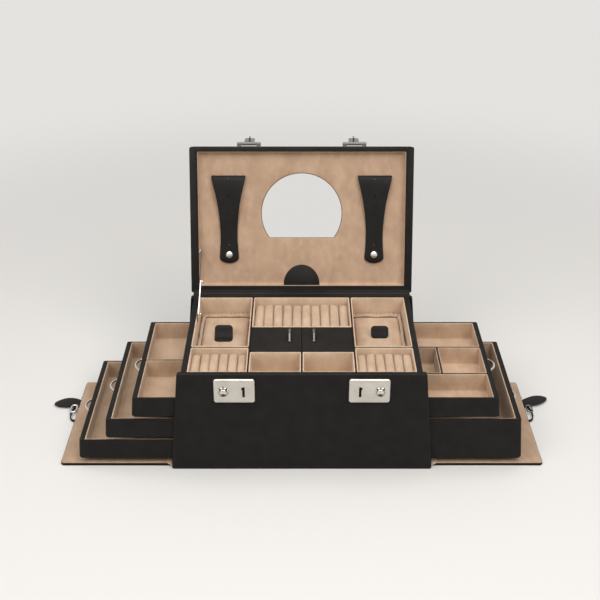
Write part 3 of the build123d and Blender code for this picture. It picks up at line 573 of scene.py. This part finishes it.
# ---- bands, tubes and turned shapes ----
def band(centres, halves, thick, across=(1, 0, 0)):
    """A flat strap along a path, with round edges; halves are its half widths along the path."""
    across = Vector(across)
    rings = []
    for k, centre in enumerate(centres):
        ahead = Vector(centres[min(k + 1, len(centres) - 1)]) - Vector(centres[max(k - 1, 0)])
        normal = across.cross(ahead).normalized()
        half, r = max(halves[k], thick * 0.6), thick / 2
        ring = []
        for side, start in ((1, -90), (-1, 90)):
            for step in range(5):
                a = radians(start + 45 * step)
                out, up = side * (half - r) + r * cos(a), r * sin(a)
                ring.append(Vector(centre) + across * out + normal * up)
        rings.append(ring)
    return lofted(rings)


def tube(centres, radii, sides=12, closed=False):
    """A round bar along a path, with a radius at each point."""
    count = len(centres)
    rings = []
    for k in range(count):
        before = centres[(k - 1) % count] if closed else centres[max(k - 1, 0)]
        after = centres[(k + 1) % count] if closed else centres[min(k + 1, count - 1)]
        ahead = (Vector(after) - Vector(before)).normalized()
        first = (first - ahead * first.dot(ahead) if k else ahead.orthogonal()).normalized()
        second = ahead.cross(first)
        rings.append([Vector(centres[k]) + radii[k] * (first * cos(2 * pi * i / sides)
                                                       + second * sin(2 * pi * i / sides))
                      for i in range(sides)])
    points, faces = lofted(rings, capped=not closed)
    return points, faces + (closing(count, sides) if closed else [])


def turned(profile, sides=28, flutes=0, depth=0.0):
    """A turned shape about Z from (radius, height) pairs, its rings fluted where asked."""
    rings = []
    for radius, height in profile:
        ring = []
        for i in range(sides):
            a = 2 * pi * i / sides
            wide = radius + (depth * cos(flutes * a) if flutes else 0)
            ring.append(Vector((wide * cos(a), wide * sin(a), height)))
        rings.append(ring)
    return lofted(rings)


onto_front, onto_side = turn(pi / 2, "X"), turn(pi / 2, "Y")      # where a turned shape's Z goes


def moved(shape, matrix):
    points, faces = shape
    return [matrix @ Vector(p) for p in points], faces


def shape_of(mesh):
    """A mesh's points in millimetres, and its faces."""
    return [vertex.co / MM for vertex in mesh.vertices], [tuple(face.vertices) for face in mesh.polygons]


def baked(work, *tools):
    """The shape of a working object with its modifiers applied; it and its tools are removed."""
    graph = bpy.context.evaluated_depsgraph_get()
    shape = shape_of(work.evaluated_get(graph).to_mesh())
    work.evaluated_get(graph).to_mesh_clear()
    for used in (work, *tools):
        bpy.data.objects.remove(used, do_unlink=True)
    return shape


def cut(shape, *cutters):
    """A shape with other shapes cut out of it, one after the other."""
    work = as_object(shape)
    tools = [as_object(cutter) for cutter in cutters]
    for tool in tools:
        boolean = work.modifiers.new("cut", "BOOLEAN")
        boolean.object = tool
        boolean.operation = "DIFFERENCE"
        boolean.solver = "EXACT"
    return baked(work, *tools)


def plump(shape, cap):
    """A closed form blown up by a cloth simulation, no point moving further than cap."""
    voxel, pressure, frames = 4.5, 4.0, 20
    work = as_object(shape)
    remesh = work.modifiers.new("voxels", "REMESH")
    remesh.mode = "VOXEL"
    remesh.voxel_size = voxel * MM
    start = baked(work)
    work = as_object(start)
    cloth = work.modifiers.new("cloth", "CLOTH")
    cloth.settings.use_pressure = True
    cloth.settings.uniform_pressure_force = pressure
    cloth.settings.effector_weights.gravity = 0
    scene = bpy.context.scene
    for step in range(frames):
        scene.frame_set(step + 1)
    swollen, _ = baked(work)
    scene.frame_set(1)
    points = []
    for before, after in zip(start[0], swollen):
        move = after - before
        points.append(before + move * min(1.0, cap / max(move.length, 1e-6)))
    start = (points, start[1])
    work = as_object(start)
    work.modifiers.new("smooth", "SUBSURF").levels = 1
    return baked(work)


def softened(node, body=None, width=1.1):
    """A leather-covered board on a body, its own where none is named, with its edges turned over."""
    work = as_object(shape_of(nodes[node].data))
    shape = bmesh.new()
    shape.from_mesh(work.data)
    bmesh.ops.remove_doubles(shape, verts=shape.verts, dist=0.00002)
    bmesh.ops.dissolve_limit(shape, angle_limit=radians(1.0), verts=shape.verts, edges=shape.edges)
    shape.to_mesh(work.data)
    shape.free()
    bevel = work.modifiers.new("turned", "BEVEL")
    bevel.width = width * MM
    bevel.segments = 3
    bevel.limit_method = "ANGLE"
    bevel.angle_limit = radians(28)
    bevel.harden_normals = False
    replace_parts(piece(f"{node}_leather", baked(work), black, body or node, sharp=50), node)


# ---- ring rolls ----
def ring_roll(low, high):
    """A stuffed roll: a round top on straight sides, and a round end at the back."""
    middle = (low.x + high.x) / 2 + rng.uniform(-0.25, 0.25)
    half = (high.x - low.x) / 2 + 0.12
    crest = high.z + rng.uniform(-0.9, 0.7)
    back = high.y - rng.uniform(0.0, 2.2)
    lean = rng.uniform(-0.5, 0.5)
    length = back - low.y
    if length < 76:
        crest += 2.4
    stations = [(0.0, 0.86), (0.012, 0.95), (0.035, 1.0), (0.3, 1.02), (0.6, 1.0)]
    for short, size in ((8, 0.99), (5, 0.95), (2.8, 0.86), (1.1, 0.68), (0.2, 0.40)):
        stations.append((1 - short / length, size))
    rings = []
    for share, size in stations:
        y = low.y + length * share
        wide = half * (size ** 0.6)
        rise = (crest - low.z) * (0.55 + 0.45 * size)
        shoulder = low.z + rise - wide
        x = middle + lean * share
        ring = [Vector((x + wide * 0.96, y, low.z)), Vector((x + wide * 0.98, y, (low.z + shoulder) / 2))]
        for step in range(13):
            a = pi * step / 12
            lump = cloth_wave(x + step, y, 9, 0.35, seed=step * 0.3)
            ring.append(Vector((x + (wide + lump * 0.4) * signed_power(cos(a), 0.72), y,
                                shoulder + (wide + lump) * abs(sin(a)) ** 0.72)))
        ring += [Vector((x - wide * 0.98, y, (low.z + shoulder) / 2)),
                 Vector((x - wide * 0.96, y, low.z))]
        rings.append(ring)
    return lofted(rings)


def ring_rolls():
    shape = joined([ring_roll(low, high) for low, high in solid_boxes("ring_pads")])
    rolls = piece("ring_rolls", shape, padded_beige, "case", sharp=60)
    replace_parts(rolls, "ring_pads")


# ---- lift-out inserts ----
pull_tab_height = 15.0      # standing above the pad


def pinked(start, end, aside, rise, tooth=7.4, thick=0.6):
    """A strip of cloth between two places, leaning aside as it rises, its far edge cut in teeth."""
    a, b, over = Vector(start), Vector(end), Vector((*aside, rise))
    along = (b - a).normalized()
    face = along.cross(over).normalized() * thick / 2
    count = 2 * int((b - a).length / tooth)
    rings = []
    for k in range(count + 1):
        p = a.lerp(b, k / count)
        p = p + over * cloth_wave(p.x, p.y, 24, 0.25, 4.0)
        tip = p + over * ((0.5 if k % 2 else 1.0) + cloth_wave(p.x, p.y, 15, 0.15))
        rings.append([p + face, tip + face, tip - face, p - face])
    return lofted(rings)


def insert_pad(name, outward):
    """A padded board with its cover's pinked edges standing along the back and the outer wall."""
    body = f"{name}_insert"
    low, high = box_mm(body)
    top, margin = high.z - pull_tab_height, 2.6
    rings = []
    for inset, z, radius in ((1.6, low.z + 0.4, 5.0), (0, low.z + 2.0, 6.0), (0, top - 4.0, 6.0),
                             (0.8, top - 2.6, 6.0), (2.4, top - 1.7, 6.0)):
        e = margin + inset
        rings.append(rounded(low.x + e, high.x - e, low.y + e, high.y - e, radius, z))
    pad = plump(lofted(rings), cap=2.0)
    edge = low.x + 0.4 if outward < 0 else high.x - 0.4
    inward, under = edge - outward * 6.4, top - 1.2
    strips = [pinked((low.x + 3, high.y - 4.5, under), (high.x - 3, high.y - 4.5, under), (0, 3.6), 6.0),
              pinked((inward, low.y + 4, under), (inward, high.y - 5, under), (outward * 6.0, 0), 4.4)]
    shape = slab(*sorted((edge, inward)), low.y + 3, high.y - 3, top - 4, top - 0.6)
    piece(f"{name}_insert_board_edge", shape, supple, body)
    made = piece(f"{name}_insert_pad", joined([pad] + strips), padded_beige, body, sharp=55)
    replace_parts(made, body)
    return top


def pull_tab(name, top, half, path):
    """A leather pull tab with round corners, from a (y, height) path about the insert's middle."""
    x, y, _ = middle_of(*box_mm(f"{name}_insert"))
    centres, halves, lengths = [], [], [0.0]
    for before, after in zip(path, path[1:]):
        lengths.append(lengths[-1] + dist(before, after))
    total, corner, steps = lengths[-1], 6.5, 26
    for i in range(steps + 1):
        at = total * (0.5 - 0.5 * cos(pi * i / steps))
        k = max(n for n in range(len(path) - 1) if lengths[n] <= at + 1e-9)
        share = (at - lengths[k]) / (lengths[k + 1] - lengths[k])
        before, after = path[k], path[k + 1]
        centres.append((x, y + 1.0 + before[0] + (after[0] - before[0]) * share,
                        top + before[1] + (after[1] - before[1]) * share))
        near = min(at, total - at)
        short = corner - sqrt(max(0.0, corner ** 2 - (corner - near) ** 2)) if near < corner else 0.0
        halves.append(half - short)
    shape = band(centres, halves, 1.9)
    piece(f"{name}_pull_tab", shape, supple, f"{name}_insert", sharp=60)


# ---- lid liner ----
liner_thick = 9.0


def mirror_outline():
    """The round mirror's radius, its middle's place, and how far and at what angle its flat edge is."""
    low, high = shut_box("mirror")
    radius = (high.x - low.x) / 2
    flat = high.y - (low.y + radius)
    return radius, low.y + radius, flat, asin(flat / radius)


def lid_panel():
    """The lid's padded panel: a lip up its walls, a crowned face and a rolled edge round the mirror."""
    low, high = shut_box("lid_liner")
    face = high.z - liner_thick
    radius, cy, flat, lift = mirror_outline()
    corners = [(x, y) for x in (low.x, high.x) for y in (low.y, high.y)]
    angles = [atan2(y - cy, x) for x, y in corners] + [lift, pi - lift]
    angles = sorted(angles + [2 * pi * k / 168 - pi for k in range(168)])

    def wall(inset, z):
        ring = []
        for a in angles:
            dx, dy = cos(a), sin(a)
            reach_x = (high.x - inset) / max(abs(dx), 1e-9)
            reach_y = ((high.y - inset - cy) if dy > 0 else (cy - low.y - inset)) / max(abs(dy), 1e-9)
            reach = min(reach_x, reach_y)
            ring.append(Vector((reach * dx, cy + reach * dy, z)))
        return ring

    def round_mirror(past, z):
        ring = []
        for a in angles:
            reach = radius + past
            if sin(a) * reach > flat + past:
                reach = (flat + past) / sin(a)
            ring.append(Vector((reach * cos(a), cy + reach * sin(a), z)))
        return ring

    rings = [wall(0.4, high.z - 1.5), wall(0, high.z - 3), wall(0, low.z + 0.6), wall(0.5, low.z),
             wall(1.2, low.z + 0.5), wall(1.5, face - 4), wall(1.9, face - 1.6), wall(3.2, face - 0.3)]
    outer, inner = wall(5.5, face), round_mirror(3.0, face)
    for share in (0.0, 0.1, 0.22, 0.36, 0.5, 0.64, 0.78, 0.9, 1.0):
        ring = [p.lerp(q, share) for p, q in zip(outer, inner)]
        for p in ring:
            p.z -= 1.3 * sin(pi * share) ** 0.5 + cloth_wave(p.x, p.y, 45, 0.5)
        rings.append(ring)
    rings += [round_mirror(1.3, face + 0.1), round_mirror(0.4, face + 0.9), round_mirror(0.2, face + 3.9)]
    made = piece("lid_panel", moved(lofted(rings), to_open), beige, "lid", sharp=60)
    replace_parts(made, "lid_liner")


def mirror_shadow_ring():
    """A thin dark ring round the glass: painted shadow where the panel's rolled edge shades the mirror's
    rim.
    """
    low, high = shut_box("mirror")
    radius, cy, _, lift = mirror_outline()
    right, left = (Vector((side * radius * cos(lift), high.y, low.z)) for side in (1, -1))
    path = [right.lerp(left, k / 12) for k in range(12)]
    for k in range(90):
        a = pi - lift + (pi + 2 * lift) * k / 90
        path.append(Vector((radius * cos(a), cy + radius * sin(a), low.z)))
    # painted shadow: a dark metal tube along the mirror's outline
    shape = moved(tube(path, [0.55] * len(path), sides=8, closed=True), to_open)
    piece("mirror_painted_shadow_ring", shape, dark_nickel, "lid", sharp=80)


# ---- earring straps ----
strap_thick = 2.2
strap_stations = (          # distance from the top end, half width, height of the strap over the panel
    (0.0, 30.4, 2.5), (0.6, 30.5, 4.2), (3.0, 30.3, 6.2), (8.0, 29.4, 8.0), (18.0, 27.0, 8.9),
    (32.0, 23.6, 8.7), (50.0, 20.0, 7.6), (70.0, 17.4, 6.1), (88.0, 15.9, 4.7), (103.0, 15.2, 3.7),
    (118.0, 15.4, 3.2), (132.0, 16.2, 3.1), (142.0, 17.0, 3.1), (147.6, 17.3, 3.1), (150.5, 16.4, 3.1),
    (153.0, 13.8, 3.1), (155.0, 10.2, 3.1), (156.4, 6.0, 3.1), (157.1, 2.0, 3.1))
hole_single = (6.4, 35.6, 64.8, 94.0, 123.2)
hole_pairs = ((50.2, 11.2), (79.4, 9.0))


def earring_strap(name):
    """A strap that bows off the panel below its fold, with rows of earring holes, and its press stud."""
    low, high = shut_box(f"{name}_earring_strap")
    x, top, tip = (low.x + high.x) / 2, low.y, high.y
    face = shut_box("lid_liner")[1].z - liner_thick
    scale = (tip - top) / strap_stations[-1][0]
    centres = [(x, top + t * scale, face - rise) for t, half, rise in strap_stations]
    shape = band(centres, [half for t, half, rise in strap_stations], strap_thick)
    places = [(0.0, t) for t in hole_single]
    places += [(side * half, t) for t, half in hole_pairs for side in (-1, 1)]
    pins = [moved(turned([(1.5, -14), (1.5, 0)], 12), shift(x + dx, top + t * scale, face))
            for dx, t in places]
    shape = moved(cut(shape, joined(pins)), to_open)
    made = piece(f"{name}_strap_leather", shape, supple, f"{name}_strap", sharp=50)
    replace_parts(made, f"{name}_earring_strap")
    stud_y = tip - 15.7
    stud_z = face - strap_stations[-1][2] - strap_thick / 2 + 0.3
    seat = shift(x, stud_y, stud_z) @ turn(pi, "X")
    dome = turned([(6.4, 0), (6.5, 0.5), (6.1, 1.1), (5.5, 1.6), (4.3, 2.4), (2.7, 3.0), (1.0, 3.3),
                   (0.1, 3.35)])
    shape = moved(moved(dome, seat), to_open)
    piece(f"{name}_strap_stud", shape, polished, f"{name}_strap", sharp=60)


# ---- flaps ----
def flap_panel(name):
    """The suede board on a flap's inner side."""
    low, high = box_mm(f"{name}_flap_lining")

    def ring(inset, z):
        return rounded(low.x + inset, high.x - inset, low.y + inset, high.y - inset, 3.0, z, 4, 14)

    rings = [ring(0.3, low.z), ring(0, low.z + 0.4), ring(0, high.z - 0.7), ring(0.3, high.z - 0.2),
             ring(0.9, high.z)]
    for inset, rise in ((5, 0.15), (16, 0.3), (32, 0.35), (52, 0.35), (72, 0.3)):
        crown = ring(inset, high.z + rise)
        for p in crown:
            p.z += cloth_wave(p.x, p.y, 40, 0.25)
        rings.append(crown)
    made = piece(f"{name}_flap_suede", lofted(rings), beige, f"{name}_flap", sharp=50)
    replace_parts(made, f"{name}_flap_lining")


ribbon_path = (             # out from the base board's edge, and up from the table
    (-8.0, 0.62), (-3.0, 0.62), (2.0, 0.75), (4.6, 1.2), (6.0, 2.3), (6.8, 3.9), (7.3, 5.4), (8.2, 6.6),
    (10.5, 7.0), (14.0, 6.9), (17.0, 6.75))


def hinge_ribbons():
    """The cloth that hinges each flap: from under the base, up past the flap's root, onto its panel."""
    edge = box_mm("base_board")[1].x
    spine_low, spine_high = box_mm("flap_spines")
    start_y, end_y = spine_low.y - 1.5, spine_high.y + 1.5
    half, middle = (end_y - start_y) / 2, (start_y + end_y) / 2
    made = []
    for side, name in ((-1, "left"), (1, "right")):
        centres = [(side * (edge + out), middle, up) for out, up in ribbon_path]
        shape = band(centres, [half] * len(centres), 0.8, across=(0, 1, 0))
        ribbon = piece(f"{name}_hinge_ribbon", shape, padded_beige, None, sharp=60)
        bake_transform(ribbon)
        made.append(ribbon)
    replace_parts(made[0], "flap_spines")


def flap_fittings(name, outward, drift):
    """The leaf-shaped tab, the leather loop beside it and the metal keeper between them."""
    boxes = sorted(solid_boxes(f"{name}_flap_tab"), key=lambda b: b[1].x - b[0].x)
    (loop_low, loop_high), (leaf_low, leaf_high) = boxes

    def ends(low, high):
        return (high.x, low.x) if outward < 0 else (low.x, high.x)

    root, tip = ends(leaf_low, leaf_high)
    middle, half = (leaf_low.y + leaf_high.y) / 2, (leaf_high.y - leaf_low.y) / 2
    sewn = 12.0 / (leaf_high.x - leaf_low.x)
    tip += outward * 7.0
    centres, halves = [], []
    for k in range(29):
        u = 1 - (1 - k / 28) ** 1.6
        v = max(0.0, (u - sewn) / (1 - sewn))
        rise = 3.4 + 1.6 * sin(pi * v)
        centres.append((root + (tip - root) * u, middle + drift * v ** 1.3, rise))
        swell = 0.62 + 0.38 * sin(pi * min(1.0, v / 0.9)) ** 0.8
        halves.append(0.4 + (half - 1.4) * swell * (1 - v ** 9) ** 0.5)
    leaf = band(centres, halves, 2.0, across=(0, 1, 0))
    root, tip = ends(loop_low, loop_high)
    reach, span = abs(tip - root) - 1.1, (loop_high.y - loop_low.y) / 2 - 1.6
    loop_y = (loop_low.y + loop_high.y) / 2
    arc = [(root + outward * reach * sin(pi * k / 24) ** 0.85, loop_y - span * cos(pi * k / 24), 2.9)
           for k in range(25)]
    loop = band(arc, [2.6] * 25, 2.0, across=(0, 0, 1))
    made = piece(f"{name}_flap_leathers", joined([leaf, loop]), supple, f"{name}_flap", sharp=60)
    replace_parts(made, f"{name}_flap_tab")
    cx, cy, _ = middle_of(*box_mm(f"{name}_flap_ring"))
    cy -= 2.5
    long, wide = 10.5, 5.2
    bar, metal = (1.9, polished) if outward < 0 else (1.2, dark_nickel)
    angles = [2 * pi * k / 36 for k in range(36)]
    path = [(cx + wide * signed_power(cos(a), 0.7), cy + long * signed_power(sin(a), 0.7), 7.0)
            for a in angles]
    shape = tube(path, [bar] * len(path), closed=True)
    keeper = piece(f"{name}_flap_keeper", shape, metal, f"{name}_flap", sharp=80)
    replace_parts(keeper, f"{name}_flap_ring")


def lid_pocket_tab():
    """The half-round leather tab, which runs under the panel's lip and up inside it."""
    low, high = shut_box("pocket_tab")
    half, tall, beyond, skin = (high.x - low.x) / 2, high.y - low.y, 1.6, 0.9
    rings = []
    for inset, z in ((0, high.z), (0, low.z + 0.4), (0.5, low.z)):
        ring = [Vector((-half + inset, high.y + beyond, z)), Vector((half - inset, high.y + beyond, z))]
        for k in range(29):
            a = pi * k / 28
            ring.append(Vector(((half - inset) * cos(a), high.y - (tall - inset) * sin(a), z)))
        rings.append(ring)
    liner_low, liner_high = shut_box("lid_liner")
    inner = liner_high.y - 1.5
    turn_up = slab(-half, half, inner - skin, inner + 0.2, liner_low.z + 0.6, low.z + 1.0)
    shape = moved(joined([lofted(rings), turn_up]), to_open)
    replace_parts(piece("lid_pocket_tab", shape, supple, "lid", sharp=50), "pocket_tab")


def hinge_gusset():
    """Thin leather glued along the back board's top, over the hinges and along the lid's rim."""
    half, glued, skin = 196.0, 5.5, 0.16
    back = box_mm("back_board")[1]
    reach = lid_axis.y - back.y
    board = [(back.y - glued + glued * k / 4, back.z + 0.12) for k in range(5)]
    angles = [pi - abs(lid_swing) * k / 12 for k in range(1, 12)]
    arc = [(lid_axis.y + reach * cos(a), lid_axis.z + reach * sin(a)) for a in angles]
    rim = [to_open @ Vector((0, back.y - glued * k / 4, lid_axis.z - 0.12)) for k in range(5)]
    path = board + arc + [(p.y, p.z) for p in rim]
    centres = [Vector((0, y, z)) for y, z in path]
    shape = band(centres, [half] * len(centres), skin)
    made = piece("lid_hinge_gusset", shape, supple, None, sharp=70)
    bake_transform(made)


def ribbon_ends():
    """The hinge ribbons' front ends, folded down over the flaps' root corners."""
    root = box_mm("right_flap")[0]
    outline = ((-0.4, 0.5), (-0.2, 3.6), (0.4, 5.8), (3.0, 6.6), (7.2, 6.4), (4.4, 3.8), (1.6, 1.4))
    for side, name in ((-1, "left"), (1, "right")):
        rings = []
        for ahead, grow in ((0.2, 0.0), (1.2, 0.0), (1.6, -0.3)):
            rings.append([Vector((side * (root.x + out + (grow if out > 2 else 0)), root.y - ahead,
                                  up + grow / 2)) for out, up in outline])
        piece(f"{name}_hinge_ribbon_end", lofted(rings), ribbon_pink, "case", sharp=60)


def stay_knobs():
    """Domed rivet heads on the stay's middle and lower pivots."""
    lower = box_mm("stay_lower_arm")
    dome = turned([(3.0, 0), (3.1, 0.5), (2.9, 1.2), (2.3, 1.8), (1.3, 2.2), (0.2, 2.35)], 24)
    body_pivot = Vector(joints["stay_lower_pivot"]["pos_m"]) / MM
    elbow = Vector((0, lower[1].y - 3.0, lower[1].z - 3.0))
    for name, place in (("middle", elbow), ("body", body_pivot)):
        shape = moved(dome, shift(lower[1].x - 0.1, place.y, place.z) @ onto_side)
        piece(f"stay_{name}_knob", shape, polished, "stay_lower", sharp=50)


# ---- bow handles ----
def bow_shape(bar):
    """A drawn bow on the face X = 0: a bar that thins towards its ends, on two domed feet."""
    half, rise, seat = 16.0, 9.4, 0.9
    radius = (half ** 2 + (rise - seat) ** 2) / (2 * (rise - seat))
    spread = asin(half / radius)
    centres, radii = [], []
    for k in range(25):
        a = -spread + 2 * spread * k / 24
        centres.append((rise - radius + radius * cos(a), radius * sin(a), 0))
        radii.append(bar * (0.7 + 0.3 * cos(a * pi / 2 / spread)))
    foot = turned([(3.1, 0), (3.15, 0.7), (2.9, 1.7), (2.3, 2.6), (1.3, 3.2), (0.2, 3.4)], 20)
    feet = [moved(foot, shift(0, side * half, 0) @ onto_side) for side in (-1, 1)]
    return joined([tube(centres, radii)] + feet)


# how far the bows sit from their CAD places: the drawers' up and aside, the small lids' back
bow_lift, bow_aside, small_bow_back = 9.0, 8.0, 6.0


def bow_handles():
    lean, reach, turn_left = atan(side_slope), 9.2, turn(pi, "Z")
    for name in drawer_rows:
        low, high = box_mm(f"{name}_drawer_handle")
        outer = max(abs(low.x), abs(high.x))
        face = outer - reach * cos(lean) - 1.2 * sin(lean) - bow_lift * side_slope
        z = (low.z + high.z) / 2 - reach / 2 * sin(lean) + bow_lift
        middle = (low.y + high.y) / 2 + bow_aside * (1 if name.startswith("left") else -1)
        place = shift(face, middle, z) @ turn(-lean, "Y")
        if name.startswith("left"):
            place = turn_left @ place
        shape = moved(bow_shape(2.0), place)
        made = piece(f"{name}_bow", shape, polished, f"{name}_drawer", sharp=50)
        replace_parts(made, f"{name}_drawer_handle")
    for name in ("left", "right"):
        low, high = box_mm(f"{name}_small_lid_handle")
        x, y, _ = middle_of(low, high)
        shape = moved(bow_shape(2.6), shift(x, y + small_bow_back, low.z) @ turn(-pi / 2, "Y"))
        # painted shade: these are the same bows as the drawers' polished ones, made in a darker metal so
        # that they look as dark as they do in shade
        made = piece(f"{name}_small_lid_bow", shape, dark_nickel, f"{name}_small_lid", sharp=50)
        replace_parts(made, f"{name}_small_lid_handle")


# ---- locks ----
lock_proud = 5.0            # how far a lock plate's face stands off the board
slot_half, slot_tall = 2.0, 9.5


def upright_ring(x0, x1, z0, z1, radius, y):
    """A ring standing in the XZ plane."""
    return [Vector((p.x, y, p.y)) for p in rounded(x0, x1, z0, z1, radius, 0, 6, 6)]


def prism(x0, x1, y0, y1, radius, corner_steps):
    """A cutter that reaches right through a lock plate."""
    return lofted([rounded(x0, x1, y0, y1, radius, z, corner_steps, 2) for z in (0, 12)])


def lock_covers():
    """Pressed lock plates: a rolled bright rim, a flat face with the slot, and a fluted collar."""
    rim = ((0, 0), (0, 2.2), (0.35, 3.6), (1.1, 4.6), (2.2, 5.0), (3.3, 4.95), (4.1, 4.5), (5.0, 4.4))
    collar = [(6.5, -1.5), (6.55, 1.1), (7.1, 1.6), (7.9, 1.5), (8.7, 0.9), (9.1, 0.0), (9.2, -0.4)]
    sides, well = 96, turned([(6.5, -2), (6.5, 14)], 40)      # the well is the knob's hole
    made = []
    for low, high in solid_boxes("lock_plates"):
        side, outward = ("left", -1) if high.x < 0 else ("right", 1)
        board = high.y
        rings = [upright_ring(low.x + inset, high.x - inset, low.z + inset, high.z - inset,
                              4.2 - 0.3 * inset, board - depth) for inset, depth in rim]
        bx, _, bz = middle_of(*box_mm(f"{side}_lock_button"))
        sx = bx - outward * 32.5
        slot = prism(sx - slot_half, sx + slot_half, bz - slot_tall, bz + slot_tall, 0.8, 3)
        step = (sx, sx + outward * 3.4)
        notch = prism(min(step), max(step), bz + 4.0, bz + 8.5, 0.4, 2)
        toward = Matrix(((1, 0, 0, 0), (0, 0, -1, board + 2), (0, 1, 0, 0), (0, 0, 0, 1)))
        hole = moved(well, shift(bx, board, bz) @ onto_front)
        plate = cut(lofted(rings), moved(slot, toward), moved(notch, toward), hole)
        seat = shift(bx, board - lock_proud + 0.6, bz) @ onto_front
        points, faces = turned(collar, sides, flutes=12, depth=0.28)
        tubular = (points, faces[:-2] + closing(len(collar), sides))
        made += [plate, moved(tubular, seat)]
    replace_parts(piece("lock_covers", joined(made), satin, "case", sharp=40), "lock_plates")


def lock_knob(name):
    """A domed, polished knob with a thumb hollow across its lower side, and dark pieces of painted shade
    on the collar round it and on its face along the hollow.
    """
    low, high = box_mm(f"{name}_lock_button")
    x, _, z = middle_of(low, high)
    depth = high.y - low.y
    seat = shift(x, high.y, z) @ onto_front
    profile = [(6.2, 0), (6.2, depth - 2.6), (5.9, depth - 1.6), (5.2, depth - 0.8), (4.0, depth - 0.25),
               (2.2, depth + 0.05), (0.2, depth + 0.1)]
    hollow = moved(turned([(5.2, -9), (5.2, 9)], 40), shift(x, low.y - 3.6, z - 4.6) @ onto_side)
    shape = cut(moved(turned(profile, 40), seat), hollow)
    made = piece(f"{name}_lock_knob", shape, polished, f"{name}_lock_button", sharp=45)
    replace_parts(made, f"{name}_lock_button")
    # painted shade: dark strokes laid on the fluted collar, where its flutes look dark
    outline = (6.7, 9.3, -1.0, 1.0, 0.6)
    stroke = lofted([upright_ring(*outline, 1.2), upright_ring(*outline, 0),
                     upright_ring(7.1, 8.9, -0.6, 0.6, 0.4, -0.2)])
    collar_top = solid_boxes("lock_plates")[0][1].y - lock_proud - 1.0
    strokes = []
    for degrees in (48, 90, 132):
        fan = turn(radians(degrees), "Y").inverted()
        strokes.append(moved(stroke, shift(x, collar_top - 0.15, z) @ fan))
    piece(f"{name}_lock_collar_painted_shade", joined(strokes), painted_shade_metal, "case", sharp=60)
    # painted shade: a dark bar curving over the knob's face along the thumb hollow
    arc = []
    for degrees in range(200, 341, 14):
        a = radians(degrees)
        arc.append((x + 4.4 * cos(a), high.y - depth + 0.1, z - 1.6 + 3.2 * sin(a)))
    shape = tube(arc, [0.5 + 0.75 * sin(pi * k / (len(arc) - 1)) for k in range(len(arc))])
    piece(f"{name}_lock_knob_painted_shade", shape, painted_shade_metal, f"{name}_lock_button", sharp=60)


# ---- the pieces ----
tray_cells()
drawer_linings()
ring_rolls()
left_top = insert_pad("left", -1)
right_top = insert_pad("right", 1)
pull_tab("left", left_top, 15.8, ((-14.5, 1.2), (-2.0, 1.9), (0.5, 3.4), (6.0, 9.0), (12.0, 19.0)))
pull_tab("right", right_top, 15.4, ((-3.0, 0.8), (-1.6, 2.4), (3.0, 9.0), (9.0, 19.0)))
lid_panel()
mirror_shadow_ring()
lid_pocket_tab()
hinge_gusset()
hinge_ribbons()
ribbon_ends()
stay_knobs()
bow_handles()
lock_covers()
for name, outward, drift in (("left", -1, -4.0), ("right", 1, 13.0)):
    earring_strap(name)
    flap_panel(name)
    flap_fittings(name, outward, drift)
    lock_knob(name)
    softened(f"{name}_flap")
    softened(f"{name}_small_lid", width=0.9)
for name in drawer_rows:
    softened(f"{name}_drawer", width=0.9)
softened("front_board", "case")
softened("back_board", "case")
softened("lid_shell", "lid")

finish_cad(black, "base_board", "tray_walls", "centre_partition")
finish_cad(beige, "drawer_shelves", "tray_floor")
finish_cad(satin, "body_hinges", "lid_hinge_leaves")
finish_cad(dark_nickel, "left_hasp", "right_hasp", "hasp_mounts", "stay_body_bracket")
# painted shade: the upper stay arm is the same metal as the lower one, darkened for the shade it lies in
finish_cad(painted_shade_metal, "stay_upper_arm")
finish_cad(polished, "stay_lower_arm", "stay_lid_bracket", "stud_sockets")
finish_cad(glass, "mirror")
